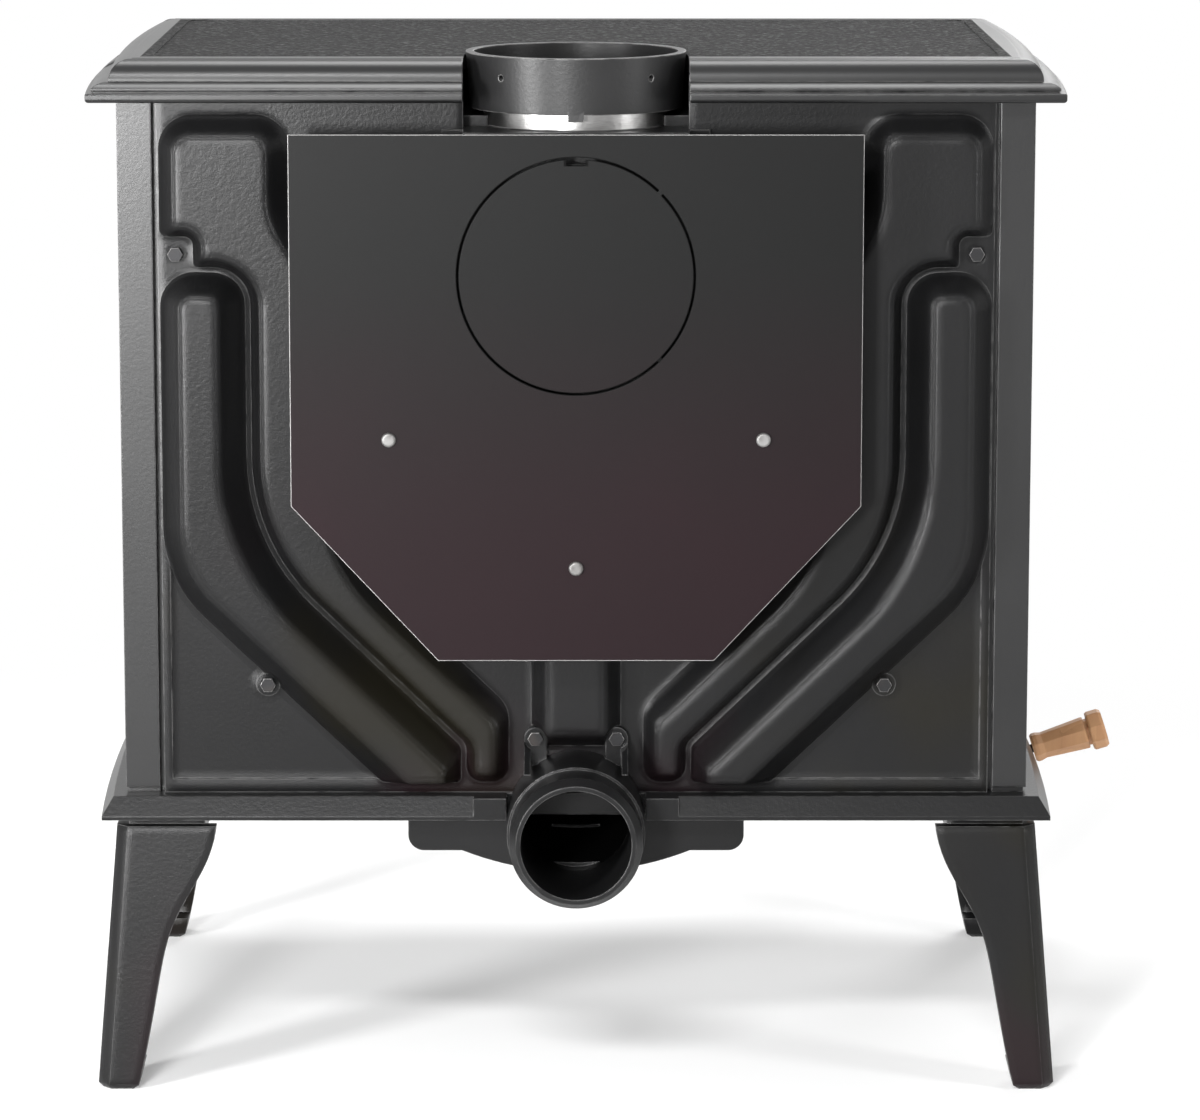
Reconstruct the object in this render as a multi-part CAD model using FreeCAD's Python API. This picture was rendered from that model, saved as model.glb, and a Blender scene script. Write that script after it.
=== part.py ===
"""A cast iron wood stove, each piece its own solid. Millimetres, +Z up, the door faces -Y.

Pieces are modelled about the middle of the body. The last step moves them all together, so that the origin
is the middle of the floor under the whole stove.
"""
import FreeCAD, Part
import math
import os

V = FreeCAD.Vector
ORIGIN, UP, BACK, SIDE = V(0, 0, 0), V(0, 0, 1), V(0, 1, 0), V(1, 0, 0)

# Body
BODY_HALF_WIDTH = 343.0
BODY_HALF_DEPTH = 215.0
LEG_HEIGHT = 210.0
BASE_THICK = 17.0
PANEL_HEIGHT = 528.0
WALL = 8.0
OVERRUN = 5.0
RUNNING_GAP = 0.3
FIT_GAP = 0.05

# Top plate
TOP_SIDE_STEP = 21.0
TOP_HALF_WIDTH = BODY_HALF_WIDTH + TOP_SIDE_STEP
TOP_BACK_STEP = 23.0
TOP_HALF_DEPTH = BODY_HALF_DEPTH + TOP_BACK_STEP
TOP_BOW = 9.0
TOP_HEIGHT = 31.0
TOP_WALL = 12.0
MOULDING_WIDTH = 37.0
MITRE_OFFSET = 0.005
FIELD_MARGIN = 9.0
FIELD_DEPTH = 0.8
FIELD_ROUND = 16.0
# each move is an end, or a middle and an end, as shares of the moulding's width inward and height upward
MOULDING_SHARES = (
    (0.08, 0.0), (0.02, 0.03, 0.0, 0.1), (0.0, 0.19), (0.03, 0.225), (0.15, 0.225), (0.15, 0.265),
    (0.12, 0.28), (0.12, 0.335), (0.22, 0.42, 0.46, 0.47), (0.46, 0.52), (0.58, 0.83, 0.92, 0.985),
    (0.95, 1.0),
)

# Base plate
BASE_SIDE_STEP = 17.0
BASE_HALF_WIDTH = BODY_HALF_WIDTH + BASE_SIDE_STEP
BASE_BACK_STEP = 22.0
BASE_HALF_DEPTH = BODY_HALF_DEPTH + BASE_BACK_STEP
BASE_BOW = 7.0
BASE_SLOPE = 9.0
BASE_EDGE = 3.0
RIB_THICK = 8.0
RIB_INSET = 35.0
HEARTH_GAP = 18.0
FIREBACK_GAP = 5.0
INLET_NOTCH_HALF = 53.0
NOTCH_PAD_WIDTH = 25.0
AIR_PORT_LENGTH = 40.0
AIR_PORT_WIDTH = 50.0

# Side panels
STRIP_WIDTH = 26.0
FLANGE_WIDTH = 57.0
FOOT_GROOVE_HEIGHT = 4.0
FOOT_GROOVE_DEPTH = 2.0
FIELD_INSET = 46.0
PANEL_FIELD_DEPTH = 3.0
PANEL_FIELD_ROUND = 24.0

# Rear plate: outlines are shares of the body's half width and of the panel's height
PLATE_GROOVE = 3.5
OUTER_DUCT_HEIGHT = 26.0
INNER_DUCT_HEIGHT = 17.0
RISER_HEIGHT = 22.0
DUCT_WALL = 6.0
DUCT_DRAFT = 1.0
DUCT_ROUND = 5.0
ROUND_SHARES = (1.0, 0.8, 0.6, 0.4, 0.2)
LEAST_ROUND = 4.0
WIDE_SLOPE = 19.0
PAD_SLOPE = 16.0
EDGE_SLOPE = 12.0
END_SLOPE = 10.0
STEEP_SLOPE = 8.0
TIP_SLOPE = 4.0
OUTER_DUCT_SHARES = (
    (0.910, 0.759, 0.076, PAD_SLOPE), (0.724, 0.754, 0.070, WIDE_SLOPE), (0.724, 0.364, 0.461, WIDE_SLOPE),
    (0.255, 0.068, 0.023, EDGE_SLOPE), (0.255, 0.015, 0.012, TIP_SLOPE), (0.431, 0.015, 0.023, WIDE_SLOPE),
    (0.910, 0.3125, 0.286, PAD_SLOPE),
)
INNER_DUCT_SHARES = (
    (0.910, 0.981, 0.076, PAD_SLOPE), (0.624, 0.981, 0.076, PAD_SLOPE), (0.624, 0.843, 0.146, PAD_SLOPE),
    (0.519, 0.729, 0.146, PAD_SLOPE), (0.519, 0.360, 0.382, PAD_SLOPE), (0.149, 0.127, 0.070, END_SLOPE),
    (0.149, 0.015, 0.038, END_SLOPE), (0.244, 0.015, 0.038, STEEP_SLOPE),
    (0.244, 0.0714, 0.035, STEEP_SLOPE),
    (0.7125, 0.367, 0.449, STEEP_SLOPE), (0.7125, 0.763, 0.082, STEEP_SLOPE),
    (0.837, 0.763, 0.009, STEEP_SLOPE), (0.837, 0.807, 0.020, STEEP_SLOPE),
    (0.910, 0.807, 0.017, EDGE_SLOPE),
)
RISER_SHARES = (
    (0.099, 0.277, 0.035, EDGE_SLOPE), (-0.099, 0.277, 0.035, EDGE_SLOPE),
    (-0.099, 0.069, 0.035, EDGE_SLOPE), (0.099, 0.069, 0.035, EDGE_SLOPE),
)
CORNER_FIELD_SHARES = ((0.895, 0.37), (0.895, 0.02), (0.33, 0.02))
CORNER_FIELD_DEPTH = 2.5
UPPER_BOLT_SHARES = (0.875, 0.782)
LOWER_BOLT_SHARES = (0.682, 0.159)
INLET_BOLT_SHARES = (0.090, 0.083)
BOLT_RADIUS = 3.0
BOLT_HOLE_GAP = 0.2
BOLT_HEAD_RADIUS = 5.8
BOLT_HEAD_HEIGHT = 4.0
BOLT_SEAT_RADIUS = 9.0
BOLT_SEAT_HEIGHT = 2.0

# Flue
FLUE_BACKSET = 45.0
COLLAR_BORE = 77.0
COLLAR_WALL = 6.0
COLLAR_TAPER = 3.0
COLLAR_HEIGHT = 42.0
COLLAR_STAND = 3.0
COLLAR_STOP_HEIGHT = 6.0
COLLAR_STOP_THICK = 4.0
COLLAR_LUG_WIDTH = 12.0
COLLAR_LUG_DROP = 5.0
COLLAR_HOLE_RADIUS = 2.4
COLLAR_HOLE_ANGLES = (47.0, 133.0, 270.0)
FLUE_HOLE_GAP = 1.5
NECK_RADIUS = 70.0
NECK_WALL = 5.0
NECK_HEIGHT = 18.0
GASKET_THICK = 1.0
BOX_HALF_WIDTH = 84.0
BOX_WALL = 6.0
BOX_UPPER_HEIGHT = 79.0
BOX_LOWER_HEIGHT = 106.0
BOX_REACH = 38.0
BOX_ROUND = 14.0
BOX_FLANGE = 16.0
BOX_FLANGE_THICK = 6.0
BLANK_DROP = 104.0
BLANK_RADIUS = 82.0
BLANK_HOLE_RADIUS = 70.0
BLANK_BOSS = 6.0
BLANK_THICK = 4.0

# Rear shield
SHIELD_STANDOFF = 56.0
SHIELD_THICK = 1.5
SHIELD_HALF_WIDTH = 212.0
SHIELD_FOOT = 114.0
SHIELD_TOP_DROP = 20.0
SHIELD_CHAMFER_WIDTH = 109.0
SHIELD_CHAMFER_HEIGHT = 117.0
KNOCKOUT_RADIUS = 88.5
KNOCKOUT_SLOT = 1.6
KNOCKOUT_BRIDGE = 4.0
KNOCKOUT_BRIDGE_ANGLES = (135.0, 225.0)
PRY_WIDTH = 14.0
PRY_HEIGHT = 5.0
SHIELD_SIDE_SCREW_SHARES = (0.656, 0.424)
SHIELD_LOW_SCREW_SHARES = (0.0, 0.178)
SPACER_RADIUS = 7.0
SCREW_RADIUS = 2.5
SCREW_HEAD_RADIUS = 5.5
SCREW_HEAD_HEIGHT = 2.8
SCREW_LENGTH = 16.0
SCREW_DOME_SHARE = 0.7

# Air inlet and air box
INLET_RADIUS = 50.0
INLET_BORE = 41.5
INLET_SHOULDER = 52.0
INLET_SHOULDER_LENGTH = 61.0
INLET_LENGTH = 95.0
INLET_CHAMFER = 5.0
INLET_CHAMFER_LENGTH = 8.0
INLET_DROP = 2.0
INLET_SET_OFF = 2.0
EAR_RADIUS = 8.5
EAR_THICK = 8.0
EAR_RIB = 5.0
EAR_RIB_REACH = 42.0
AIR_BOX_HALF_WIDTH = 128.0
AIR_BOX_HEIGHT = 28.0
AIR_BOX_WALL = 5.0
AIR_BOX_ROUND = 12.0
AIR_BOX_LENGTH = 330.0
BELLY_HALF_WIDTH = 87.0
BELLY_DROP = 17.0
FLOOR_SLOT_LENGTH = 38.0
FLOOR_SLOT_WIDTH = 10.0
FLOOR_SLOT_BACKSET = 127.0

# Air control
ROD_RADIUS = 3.5
ROD_DROP = 15.0
ROD_SETBACK = 68.0
ROD_BEND_STEP = 21.0
ROD_BEND_REACH = BODY_HALF_WIDTH + ROD_BEND_STEP
ROD_BEND_ROUND = 12.0
GRIP_TILT = 17.0
GRIP_START = 11.0
GRIP_LENGTH = 61.0
ROD_IN_GRIP = 42.0
AIR_TRAVEL = 45.0
SHUTTER_THICK = 3.0
SHUTTER_LAP = 8.0
SHUTTER_LUG = 14.0
GRIP_SIDES = 8
# along the grip as shares of its length, across the flats as shares of its widest
GRIP_WIDTH = 30.0
GRIP_SHARES = (
    (0.0, 0.66), (0.03, 0.74), (0.08, 0.74), (0.15, 0.67), (0.72, 0.82), (0.745, 0.80), (0.75, 0.68),
    (0.785, 0.68), (0.79, 0.93), (0.815, 1.0), (0.96, 1.0), (1.0, 0.9),
)

# Legs: the inner edge is shares of the top width and of the leg's height
LEG_TOP_INSET = 10.0
LEG_TOP_WIDTH = 76.0
LEG_SPLAY = 16.0
LEG_WALL = 11.0
LEG_NECK = 7.0
LEG_NECK_INSET = 9.0
LEG_PAD_DEPTH = 15.0
LEG_CHAMFER = 9.0
LEG_FOOT_BEVEL = 4.0
LEG_FOOT_HEIGHT = 18.0
LEG_FOOT_WIDTH = 31.0
LEG_EDGE_SHARES = ((-0.23, 0.049), (-0.40, 0.367), (-0.58, 0.619), (-0.94, 0.868))
LEG_BOLT_RADIUS = 5.0
LEG_BOLT_HEAD = 9.0
LEG_BOLT_HEAD_HEIGHT = 7.0
LEG_BOLT_GRIP = 12.0

# Firebox
HEARTH_THICK = 8.0
LINER_GAP = 9.0
BRICK_THICK = 30.0
BRICK_JOINT = 0.6
SIDE_BRICKS = 3
REAR_BRICKS = 4
FLOOR_BRICK_ROWS = 2
FLOOR_BRICK_COLUMNS = 4
BRICK_HEIGHT = 311.0
RAIL_HEIGHT = 28.0
RAIL_WIDTH = 20.0
TUBE_RADIUS = 10.0
TUBE_WALL = 2.0
TUBE_HOLE_RADIUS = 2.0
TUBE_HOLES = 12
TUBE_SEAT = 12.0
TUBE_PLACE_SHARES = (0.2, 0.5, 0.8)
BAFFLE_THICK = 22.0
BAFFLE_FRONT_GAP = 89.0
GUARD_HEIGHT = 52.0
GUARD_SIDE_GAP = 32.0
GUARD_THICK = 9.0
GUARD_BARS = 7
GUARD_BAR_WIDTH = 9.0
GUARD_SETBACK = 16.0
AIR_SLOT_LENGTH = 60.0
AIR_SLOT_WIDTH = 10.0
AIR_SLOTS = 5
AIR_SLOT_PITCH = 84.0
AIR_SLOT_SETBACK = 9.0
REAR_SPACER_RADIUS = 8.0

# Tie rods
TIE_RADIUS = 4.0
TIE_HEAD_RADIUS = 7.0
TIE_HEAD_HEIGHT = 6.0
TIE_INSET = 25.0
TIE_SCREWED = 5.0

# Door
OPENING_JAMB = 121.0
OPENING_HALF_WIDTH = BODY_HALF_WIDTH - OPENING_JAMB
GUARD_HALF_WIDTH = OPENING_HALF_WIDTH - GUARD_SIDE_GAP
OPENING_SILL = 73.0
OPENING_HEAD = 55.0
OPENING_ROUND = 6.0
DOOR_OVERLAP = 23.0
DOOR_LOWER_OVERLAP = 18.0
DOOR_THICK = 16.5
DOOR_GAP = 1.5
DOOR_ROUND = 10.0
DOOR_EDGE = 3.0
WINDOW_STILE = 46.0
WINDOW_HALF_WIDTH = OPENING_HALF_WIDTH - WINDOW_STILE
WINDOW_BOTTOM = 64.0
WINDOW_HEAD = 87.0
WINDOW_ARCH = 30.0
WINDOW_BEVEL = 7.0
GLASS_THICK = 4.5
GLASS_LAP = 17.0
GLASS_SEAL = 2.0
GLASS_PLAY = 2.0
CLIP_THICK = 2.0
CLIP_LENGTH = 22.0
CLIP_WIDTH = 20.0
CLIP_LAP = 9.0
CLIP_SHARES = (0.25, 0.75)
ROPE_WIDTH = 9.0
ROPE_INSET = 7.0
ROPE_GROOVE = 4.0
HINGE_REACH = 12.0
HINGE_FORWARD = 11.0
KNUCKLE_RADIUS = 8.0
KNUCKLE_HEIGHT = 16.0
PIN_RADIUS = 4.0
PIN_HEAD_HEIGHT = 3.0
PIN_HEAD_RADIUS = 6.5
HINGE_SHARES = (0.16, 0.82)
SPINDLE_RADIUS = 6.0
SPINDLE_INSET = 36.0
SPINDLE_SHARE = 0.5
SPINDLE_STAND = 25.0
CAM_THICK = 6.0
CAM_HUB = 10.0
CAM_REACH = 30.0
CAM_WIDTH = 11.0
CAM_GAP = 2.0
KEEPER_WIDTH = 24.0
KEEPER_HEIGHT = 40.0
KEEPER_SET_IN = 3.0
HUB_RADIUS = 13.0
HUB_LENGTH = 12.0
HANDLE_DROP = 34.0
HANDLE_WIDTH = 12.0
HANDLE_THICK = 9.0
HANDLE_TANG = 60.0
TANG_RADIUS = 4.0
DOOR_GRIP_LENGTH = 98.0
ASH_LIP_DROP = 8.0
ASH_LIP_THICK = 9.0
ASH_LIP_OVERHANG = 10.0
ASH_LIP_HALF_WIDTH = OPENING_HALF_WIDTH + ASH_LIP_OVERHANG
ASH_LIP_REACH = 58.0
ASH_LIP_ROUND = 30.0
ASH_LIP_RIM = 4.0
ASH_LIP_RIM_WIDTH = 6.0
ASH_LIP_FLANGE = 16.0
ASH_LIP_SCREW_SHARE = 0.7

# Levels and planes that several pieces share
BASE_TOP = LEG_HEIGHT + BASE_THICK
LIP_Z = BASE_TOP + PANEL_HEIGHT
TOP_Z = LIP_Z + TOP_HEIGHT
CEILING_Z = TOP_Z - TOP_WALL
BACK_IN = BODY_HALF_DEPTH - WALL
SIDE_IN = BODY_HALF_WIDTH - WALL
STRIP_IN = BODY_HALF_WIDTH - STRIP_WIDTH
PLATE_HALF_WIDTH = STRIP_IN - PLATE_GROOVE
FLANGE_IN = BACK_IN - WALL
LINER_OUT = SIDE_IN - LINER_GAP
LINER_IN = LINER_OUT - WALL
FIREBACK_OUT = FLANGE_IN - FIREBACK_GAP
FIREBACK_IN = FIREBACK_OUT - WALL
HEARTH_Z = BASE_TOP + HEARTH_GAP
FLOOR_Z = HEARTH_Z + HEARTH_THICK
BRICK_Z = FLOOR_Z + BRICK_THICK
BRICK_TOP = BRICK_Z + BRICK_HEIGHT
RAIL_TOP = BRICK_TOP + RAIL_HEIGHT
FLUE_Y = BODY_HALF_DEPTH - FLUE_BACKSET
COLLAR_TOP = TOP_Z + COLLAR_STAND
COLLAR_LOW = COLLAR_TOP - COLLAR_HEIGHT
STOP_Z = COLLAR_LOW + COLLAR_STOP_HEIGHT
NECK_TOP = STOP_Z - GASKET_THICK
BOX_TOP = NECK_TOP - NECK_HEIGHT
BOX_UPPER_LOW = BOX_TOP - BOX_UPPER_HEIGHT
BOX_LOW = BOX_UPPER_LOW - BOX_LOWER_HEIGHT
BOX_FRONT = FLUE_Y - NECK_RADIUS - BOX_WALL
BOX_BACK = BODY_HALF_DEPTH + BOX_REACH - BOX_WALL
BLANK_Z = BOX_TOP - BLANK_DROP
SHIELD_Y = BODY_HALF_DEPTH + SHIELD_STANDOFF
SHIELD_TOP = LIP_Z - SHIELD_TOP_DROP
SHIELD_HEIGHT = SHIELD_TOP - BASE_TOP - SHIELD_FOOT
INLET_Z = LEG_HEIGHT - INLET_DROP
INLET_Y = BODY_HALF_DEPTH + INLET_SET_OFF
ROD_Z = LEG_HEIGHT - ROD_DROP
FRONT = -BODY_HALF_DEPTH
FRONT_IN = -BACK_IN
OPENING_LOW = BASE_TOP + OPENING_SILL
OPENING_TOP = LIP_Z - OPENING_HEAD
OPENING_HEIGHT = OPENING_TOP - OPENING_LOW
DOOR_HALF_WIDTH = OPENING_HALF_WIDTH + DOOR_OVERLAP
DOOR_LOW = OPENING_LOW - DOOR_LOWER_OVERLAP
DOOR_HEIGHT = OPENING_HEIGHT + DOOR_LOWER_OVERLAP + DOOR_OVERLAP
DOOR_BACK = FRONT - DOOR_GAP
DOOR_FRONT = DOOR_BACK - DOOR_THICK
WINDOW_LOW = DOOR_LOW + WINDOW_BOTTOM
WINDOW_TOP = DOOR_LOW + DOOR_HEIGHT - WINDOW_HEAD
HINGE_X = -DOOR_HALF_WIDTH - HINGE_REACH
HINGE_Y = FRONT - HINGE_FORWARD
SPINDLE_X = DOOR_HALF_WIDTH - SPINDLE_INSET
SPINDLE_Z = DOOR_LOW + SPINDLE_SHARE * DOOR_HEIGHT


def block(x0, x1, y0, y1, z0, z1):
    """A box between three pairs of limits."""
    return Part.makeBox(x1 - x0, y1 - y0, z1 - z0, V(x0, y0, z0))


def bar(radius, length, start, way=UP):
    """A round bar from a point along a direction."""
    return Part.makeCylinder(radius, length, start, way)


def tube(radius, bore, length, start, way=UP):
    """A round bar with a bore right through."""
    return bar(radius, length, start, way).cut(bar(bore, length, start, way))


def fuse(first, *rest):
    """One solid out of pieces that meet."""
    return first.multiFuse(list(rest)).removeSplitter()


def mirrored(shape):
    """The same shape on the other side of the stove."""
    return shape.mirror(ORIGIN, SIDE)


def group(shapes):
    """Separate solids that share one node."""
    return Part.makeCompound(shapes)


def across(y):
    """Places outline points on an upright plane seen from the back."""
    return lambda a, b: V(a, y, b)


def level(z):
    """Places outline points on a level plane."""
    return lambda a, b: V(a, b, z)


def along(x):
    """Places outline points on an upright plane seen from the side."""
    return lambda a, b: V(x, a, b)


def outline(corners, place, insets=None):
    """A closed wire round corners of (a, b, round), each edge moved inward by its own inset."""
    count = len(corners)
    insets = insets or [0.0] * count
    area = sum(corners[i - 1][0] * corners[i][1] - corners[i][0] * corners[i - 1][1] for i in range(count))
    turn_sign = math.copysign(1, area)
    ways = []
    for i, corner in enumerate(corners):
        following = corners[(i + 1) % count]
        da, db = following[0] - corner[0], following[1] - corner[1]
        ways.append((da / math.hypot(da, db), db / math.hypot(da, db)))
    arcs = []
    for i, (a, b, radius) in enumerate(corners):
        (pa, pb), (qa, qb) = ways[i - 1], ways[i]
        before, after = insets[i - 1], insets[i]
        cross = (pa * qb - pb * qa) * turn_sign
        va = a + (qa * before - pa * after) / cross
        vb = b + (qb * before - pb * after) / cross
        middle_inset = (before + after) / 2
        moved = radius - middle_inset if cross > 0 else radius + middle_inset
        if middle_inset:
            moved = max(moved, LEAST_ROUND)
        half_turn = abs(math.atan2(cross, pa * qa + pb * qb)) / 2
        reach = moved * math.tan(half_turn)
        bow = moved / math.cos(half_turn) - moved
        ba, bb = qa - pa, qb - pb
        size = math.hypot(ba, bb)
        arcs.append((
            (va - pa * reach, vb - pb * reach),
            (va + ba / size * bow, vb + bb / size * bow),
            (va + qa * reach, vb + qb * reach),
        ))
    edges = []
    for i, (start, middle, end) in enumerate(arcs):
        if corners[i][2]:
            edges.append(Part.Arc(place(*start), place(*middle), place(*end)).toShape())
        edges.append(Part.makeLine(place(*end), place(*arcs[(i + 1) % count][0])))
    return Part.Wire(edges)


def prism(corners, place, sweep):
    """An outline swept straight along a vector."""
    return Part.Face(outline(corners, place)).extrude(sweep)


def rounded(a0, a1, b0, b1, radius):
    """The corners of a rectangle, all with the same round."""
    return [(a0, b0, radius), (a1, b0, radius), (a1, b1, radius), (a0, b1, radius)]


def hexagon_bar(radius, length, start, way=UP):
    """A hexagonal bar, such as a bolt's head."""
    points = [
        V(radius * math.cos(i * math.pi / 3), radius * math.sin(i * math.pi / 3), 0)
        for i in range(7)
    ]
    head = Part.Face(Part.makePolygon(points)).extrude(UP * length)
    head.Placement = FreeCAD.Placement(start, FreeCAD.Rotation(UP, way))
    return head


def bolt(
    head_at, way, shank, radius=BOLT_RADIUS, head_radius=BOLT_HEAD_RADIUS, head_height=BOLT_HEAD_HEIGHT
):
    """A hexagon bolt whose head sits on a point and stands out along a direction."""
    return fuse(hexagon_bar(head_radius, head_height, head_at, way), bar(radius, shank, head_at, way * -1))


def screw(head_at, way, shank):
    """A round-headed screw whose head sits on a point."""
    head = bar(SCREW_HEAD_RADIUS, SCREW_HEAD_HEIGHT, head_at, way)
    head = head.makeFillet(
        SCREW_HEAD_HEIGHT * SCREW_DOME_SHARE, rim_edges(head, head_at + way * SCREW_HEAD_HEIGHT, way)
    )
    return fuse(head, bar(SCREW_RADIUS, shank, head_at, way * -1))


def rim_edges(shape, point, way):
    """The edges that lie in the plane through a point, square to a direction."""
    tolerance = FIT_GAP / 2
    return [
        edge for edge in shape.Edges
        if all(abs((vertex.Point - point).dot(way)) < tolerance for vertex in edge.Vertexes)
        and abs((edge.CenterOfMass - point).dot(way)) < tolerance
    ]


def profile_face(start, moves, place):
    """A face bounded by lines and three-point arcs, closed back to its start."""
    edges, here = [], start
    for move in moves:
        there = move[-2:]
        if len(move) > 2:
            edges.append(Part.Arc(place(*here), place(*move[:2]), place(*there)).toShape())
        else:
            edges.append(Part.makeLine(place(*here), place(*there)))
        here = there
    edges.append(Part.makeLine(place(*here), place(*start)))
    return Part.Face(Part.Wire(edges))


def moulded_slab(moves, height, half_width, half_depth, bow, low):
    """A plate with the same edge profile all round, straight at front and back and bowed at the sides."""
    far = -bow - OVERRUN
    start = (moves[0][0], -OVERRUN)
    moves = list(moves) + [(moves[-1][-2], height + OVERRUN), (far, height + OVERRUN), (far, -OVERRUN)]
    reach = half_width + bow
    spare = OVERRUN / 2
    slab = block(-reach - spare, reach + spare, -half_depth - spare, half_depth + spare, low, low + height)
    back = profile_face(start, moves, lambda o, h: V(-2 * reach, half_depth - o, low + h))
    back = back.extrude(SIDE * 4 * reach)
    radius = (half_depth**2 + bow**2) / (2 * bow)
    centre = V(reach - radius, 0, 0)
    spread = 2 * math.degrees(math.asin(half_depth / radius))
    side = profile_face(start, moves, lambda o, h: V(reach - o, 0, low + h))
    side.rotate(centre, UP, -spread)
    side = side.revolve(centre, UP, 2 * spread)
    side.translate(UP * MITRE_OFFSET)
    for waste in (back, back.mirror(ORIGIN, BACK), side, mirrored(side)):
        slab = slab.cut(waste)
    return slab


def plate_place(shares):
    """The place on the back that a pair of shares names, as distance from the middle and height."""
    return shares[0] * BODY_HALF_WIDTH, BASE_TOP + shares[1] * PANEL_HEIGHT


def at_flue(z):
    """The point on the flue's axis at a height."""
    return V(0, FLUE_Y, z)


def top_plate():
    """The moulded top, hollow underneath, open round the flue collar and behind it."""
    moves = [
        tuple(share * (TOP_HEIGHT if i % 2 else MOULDING_WIDTH) for i, share in enumerate(move))
        for move in MOULDING_SHARES
    ]
    slab = moulded_slab(moves, TOP_HEIGHT, TOP_HALF_WIDTH, TOP_HALF_DEPTH, TOP_BOW, LIP_Z)
    inner_w, inner_d = BODY_HALF_WIDTH + RUNNING_GAP, BODY_HALF_DEPTH + RUNNING_GAP
    slab = slab.cut(block(-inner_w, inner_w, -inner_d, inner_d, LIP_Z - OVERRUN, CEILING_Z))
    hole = COLLAR_BORE + COLLAR_WALL + FLUE_HOLE_GAP
    slab = slab.cut(bar(hole, TOP_HEIGHT + 2 * OVERRUN, at_flue(LIP_Z - OVERRUN)))
    slab = slab.cut(block(-hole, hole, FLUE_Y, TOP_HALF_DEPTH + OVERRUN, LIP_Z - OVERRUN, TOP_Z + OVERRUN))
    field_w = TOP_HALF_WIDTH - MOULDING_WIDTH - FIELD_MARGIN
    field_d = TOP_HALF_DEPTH - MOULDING_WIDTH - FIELD_MARGIN
    field = rounded(-field_w, field_w, -field_d, field_d, FIELD_ROUND)
    slab = slab.cut(prism(field, level(TOP_Z - FIELD_DEPTH), UP * OVERRUN))
    for x, y in tie_places():
        slab = slab.cut(bar(TIE_RADIUS + FIT_GAP, TIE_SCREWED + FIT_GAP, V(x, y, CEILING_Z)))
    return slab


def tie_places():
    """Where the four tie rods stand."""
    x, y = SIDE_IN - LINER_GAP / 2, BODY_HALF_DEPTH - TIE_INSET
    return [(i * x, j * y) for i in (-1, 1) for j in (-1, 1)]


def tie_rods():
    """Four rods that clamp the top to the base."""
    low = LEG_HEIGHT + FIT_GAP
    rods = []
    for x, y in tie_places():
        head = hexagon_bar(TIE_HEAD_RADIUS, TIE_HEAD_HEIGHT, V(x, y, low))
        rods.append(fuse(head, bar(TIE_RADIUS, CEILING_Z + TIE_SCREWED - low, V(x, y, low))))
    return group(rods)


def rod_port():
    """The limits in X and Y of the air port in the base."""
    return 0, AIR_PORT_LENGTH, -ROD_SETBACK - AIR_PORT_WIDTH / 2, -ROD_SETBACK + AIR_PORT_WIDTH / 2


def base_plate():
    """The base with its sloping edge, two ribs that carry the hearth, and a notch for the air inlet."""
    moves = [(0, 0), (0, BASE_EDGE), (BASE_SLOPE, BASE_THICK)]
    slab = moulded_slab(moves, BASE_THICK, BASE_HALF_WIDTH, BASE_HALF_DEPTH, BASE_BOW, LEG_HEIGHT)
    pad_out = INLET_NOTCH_HALF + NOTCH_PAD_WIDTH
    slab = slab.fuse(block(-pad_out, pad_out, 0, BASE_HALF_DEPTH, LEG_HEIGHT, BASE_TOP))
    for sign in (-1, 1):
        x = sign * (SIDE_IN - RIB_INSET)
        slab = slab.fuse(
            block(x - RIB_THICK / 2, x + RIB_THICK / 2, FRONT_IN + WALL, FIREBACK_IN, LEG_HEIGHT, HEARTH_Z)
        )
    half = INLET_NOTCH_HALF
    slab = slab.cut(
        block(-half, half, INLET_Y, BASE_HALF_DEPTH + OVERRUN, LEG_HEIGHT - OVERRUN, BASE_TOP + OVERRUN)
    )
    slab = slab.cut(block(*rod_port(), LEG_HEIGHT - OVERRUN, BASE_TOP + OVERRUN))
    for x, y in tie_places():
        slab = slab.cut(bar(TIE_RADIUS + FIT_GAP, BASE_THICK + OVERRUN, V(x, y, LEG_HEIGHT)))
        slab = slab.cut(bar(TIE_HEAD_RADIUS + FIT_GAP, TIE_HEAD_HEIGHT + 2 * FIT_GAP, V(x, y, LEG_HEIGHT)))
    for x, y in leg_bolt_places():
        slab = slab.cut(bar(LEG_BOLT_RADIUS + FIT_GAP, LEG_BOLT_GRIP + FIT_GAP, V(x, y, LEG_HEIGHT)))
    return slab.removeSplitter()


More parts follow.
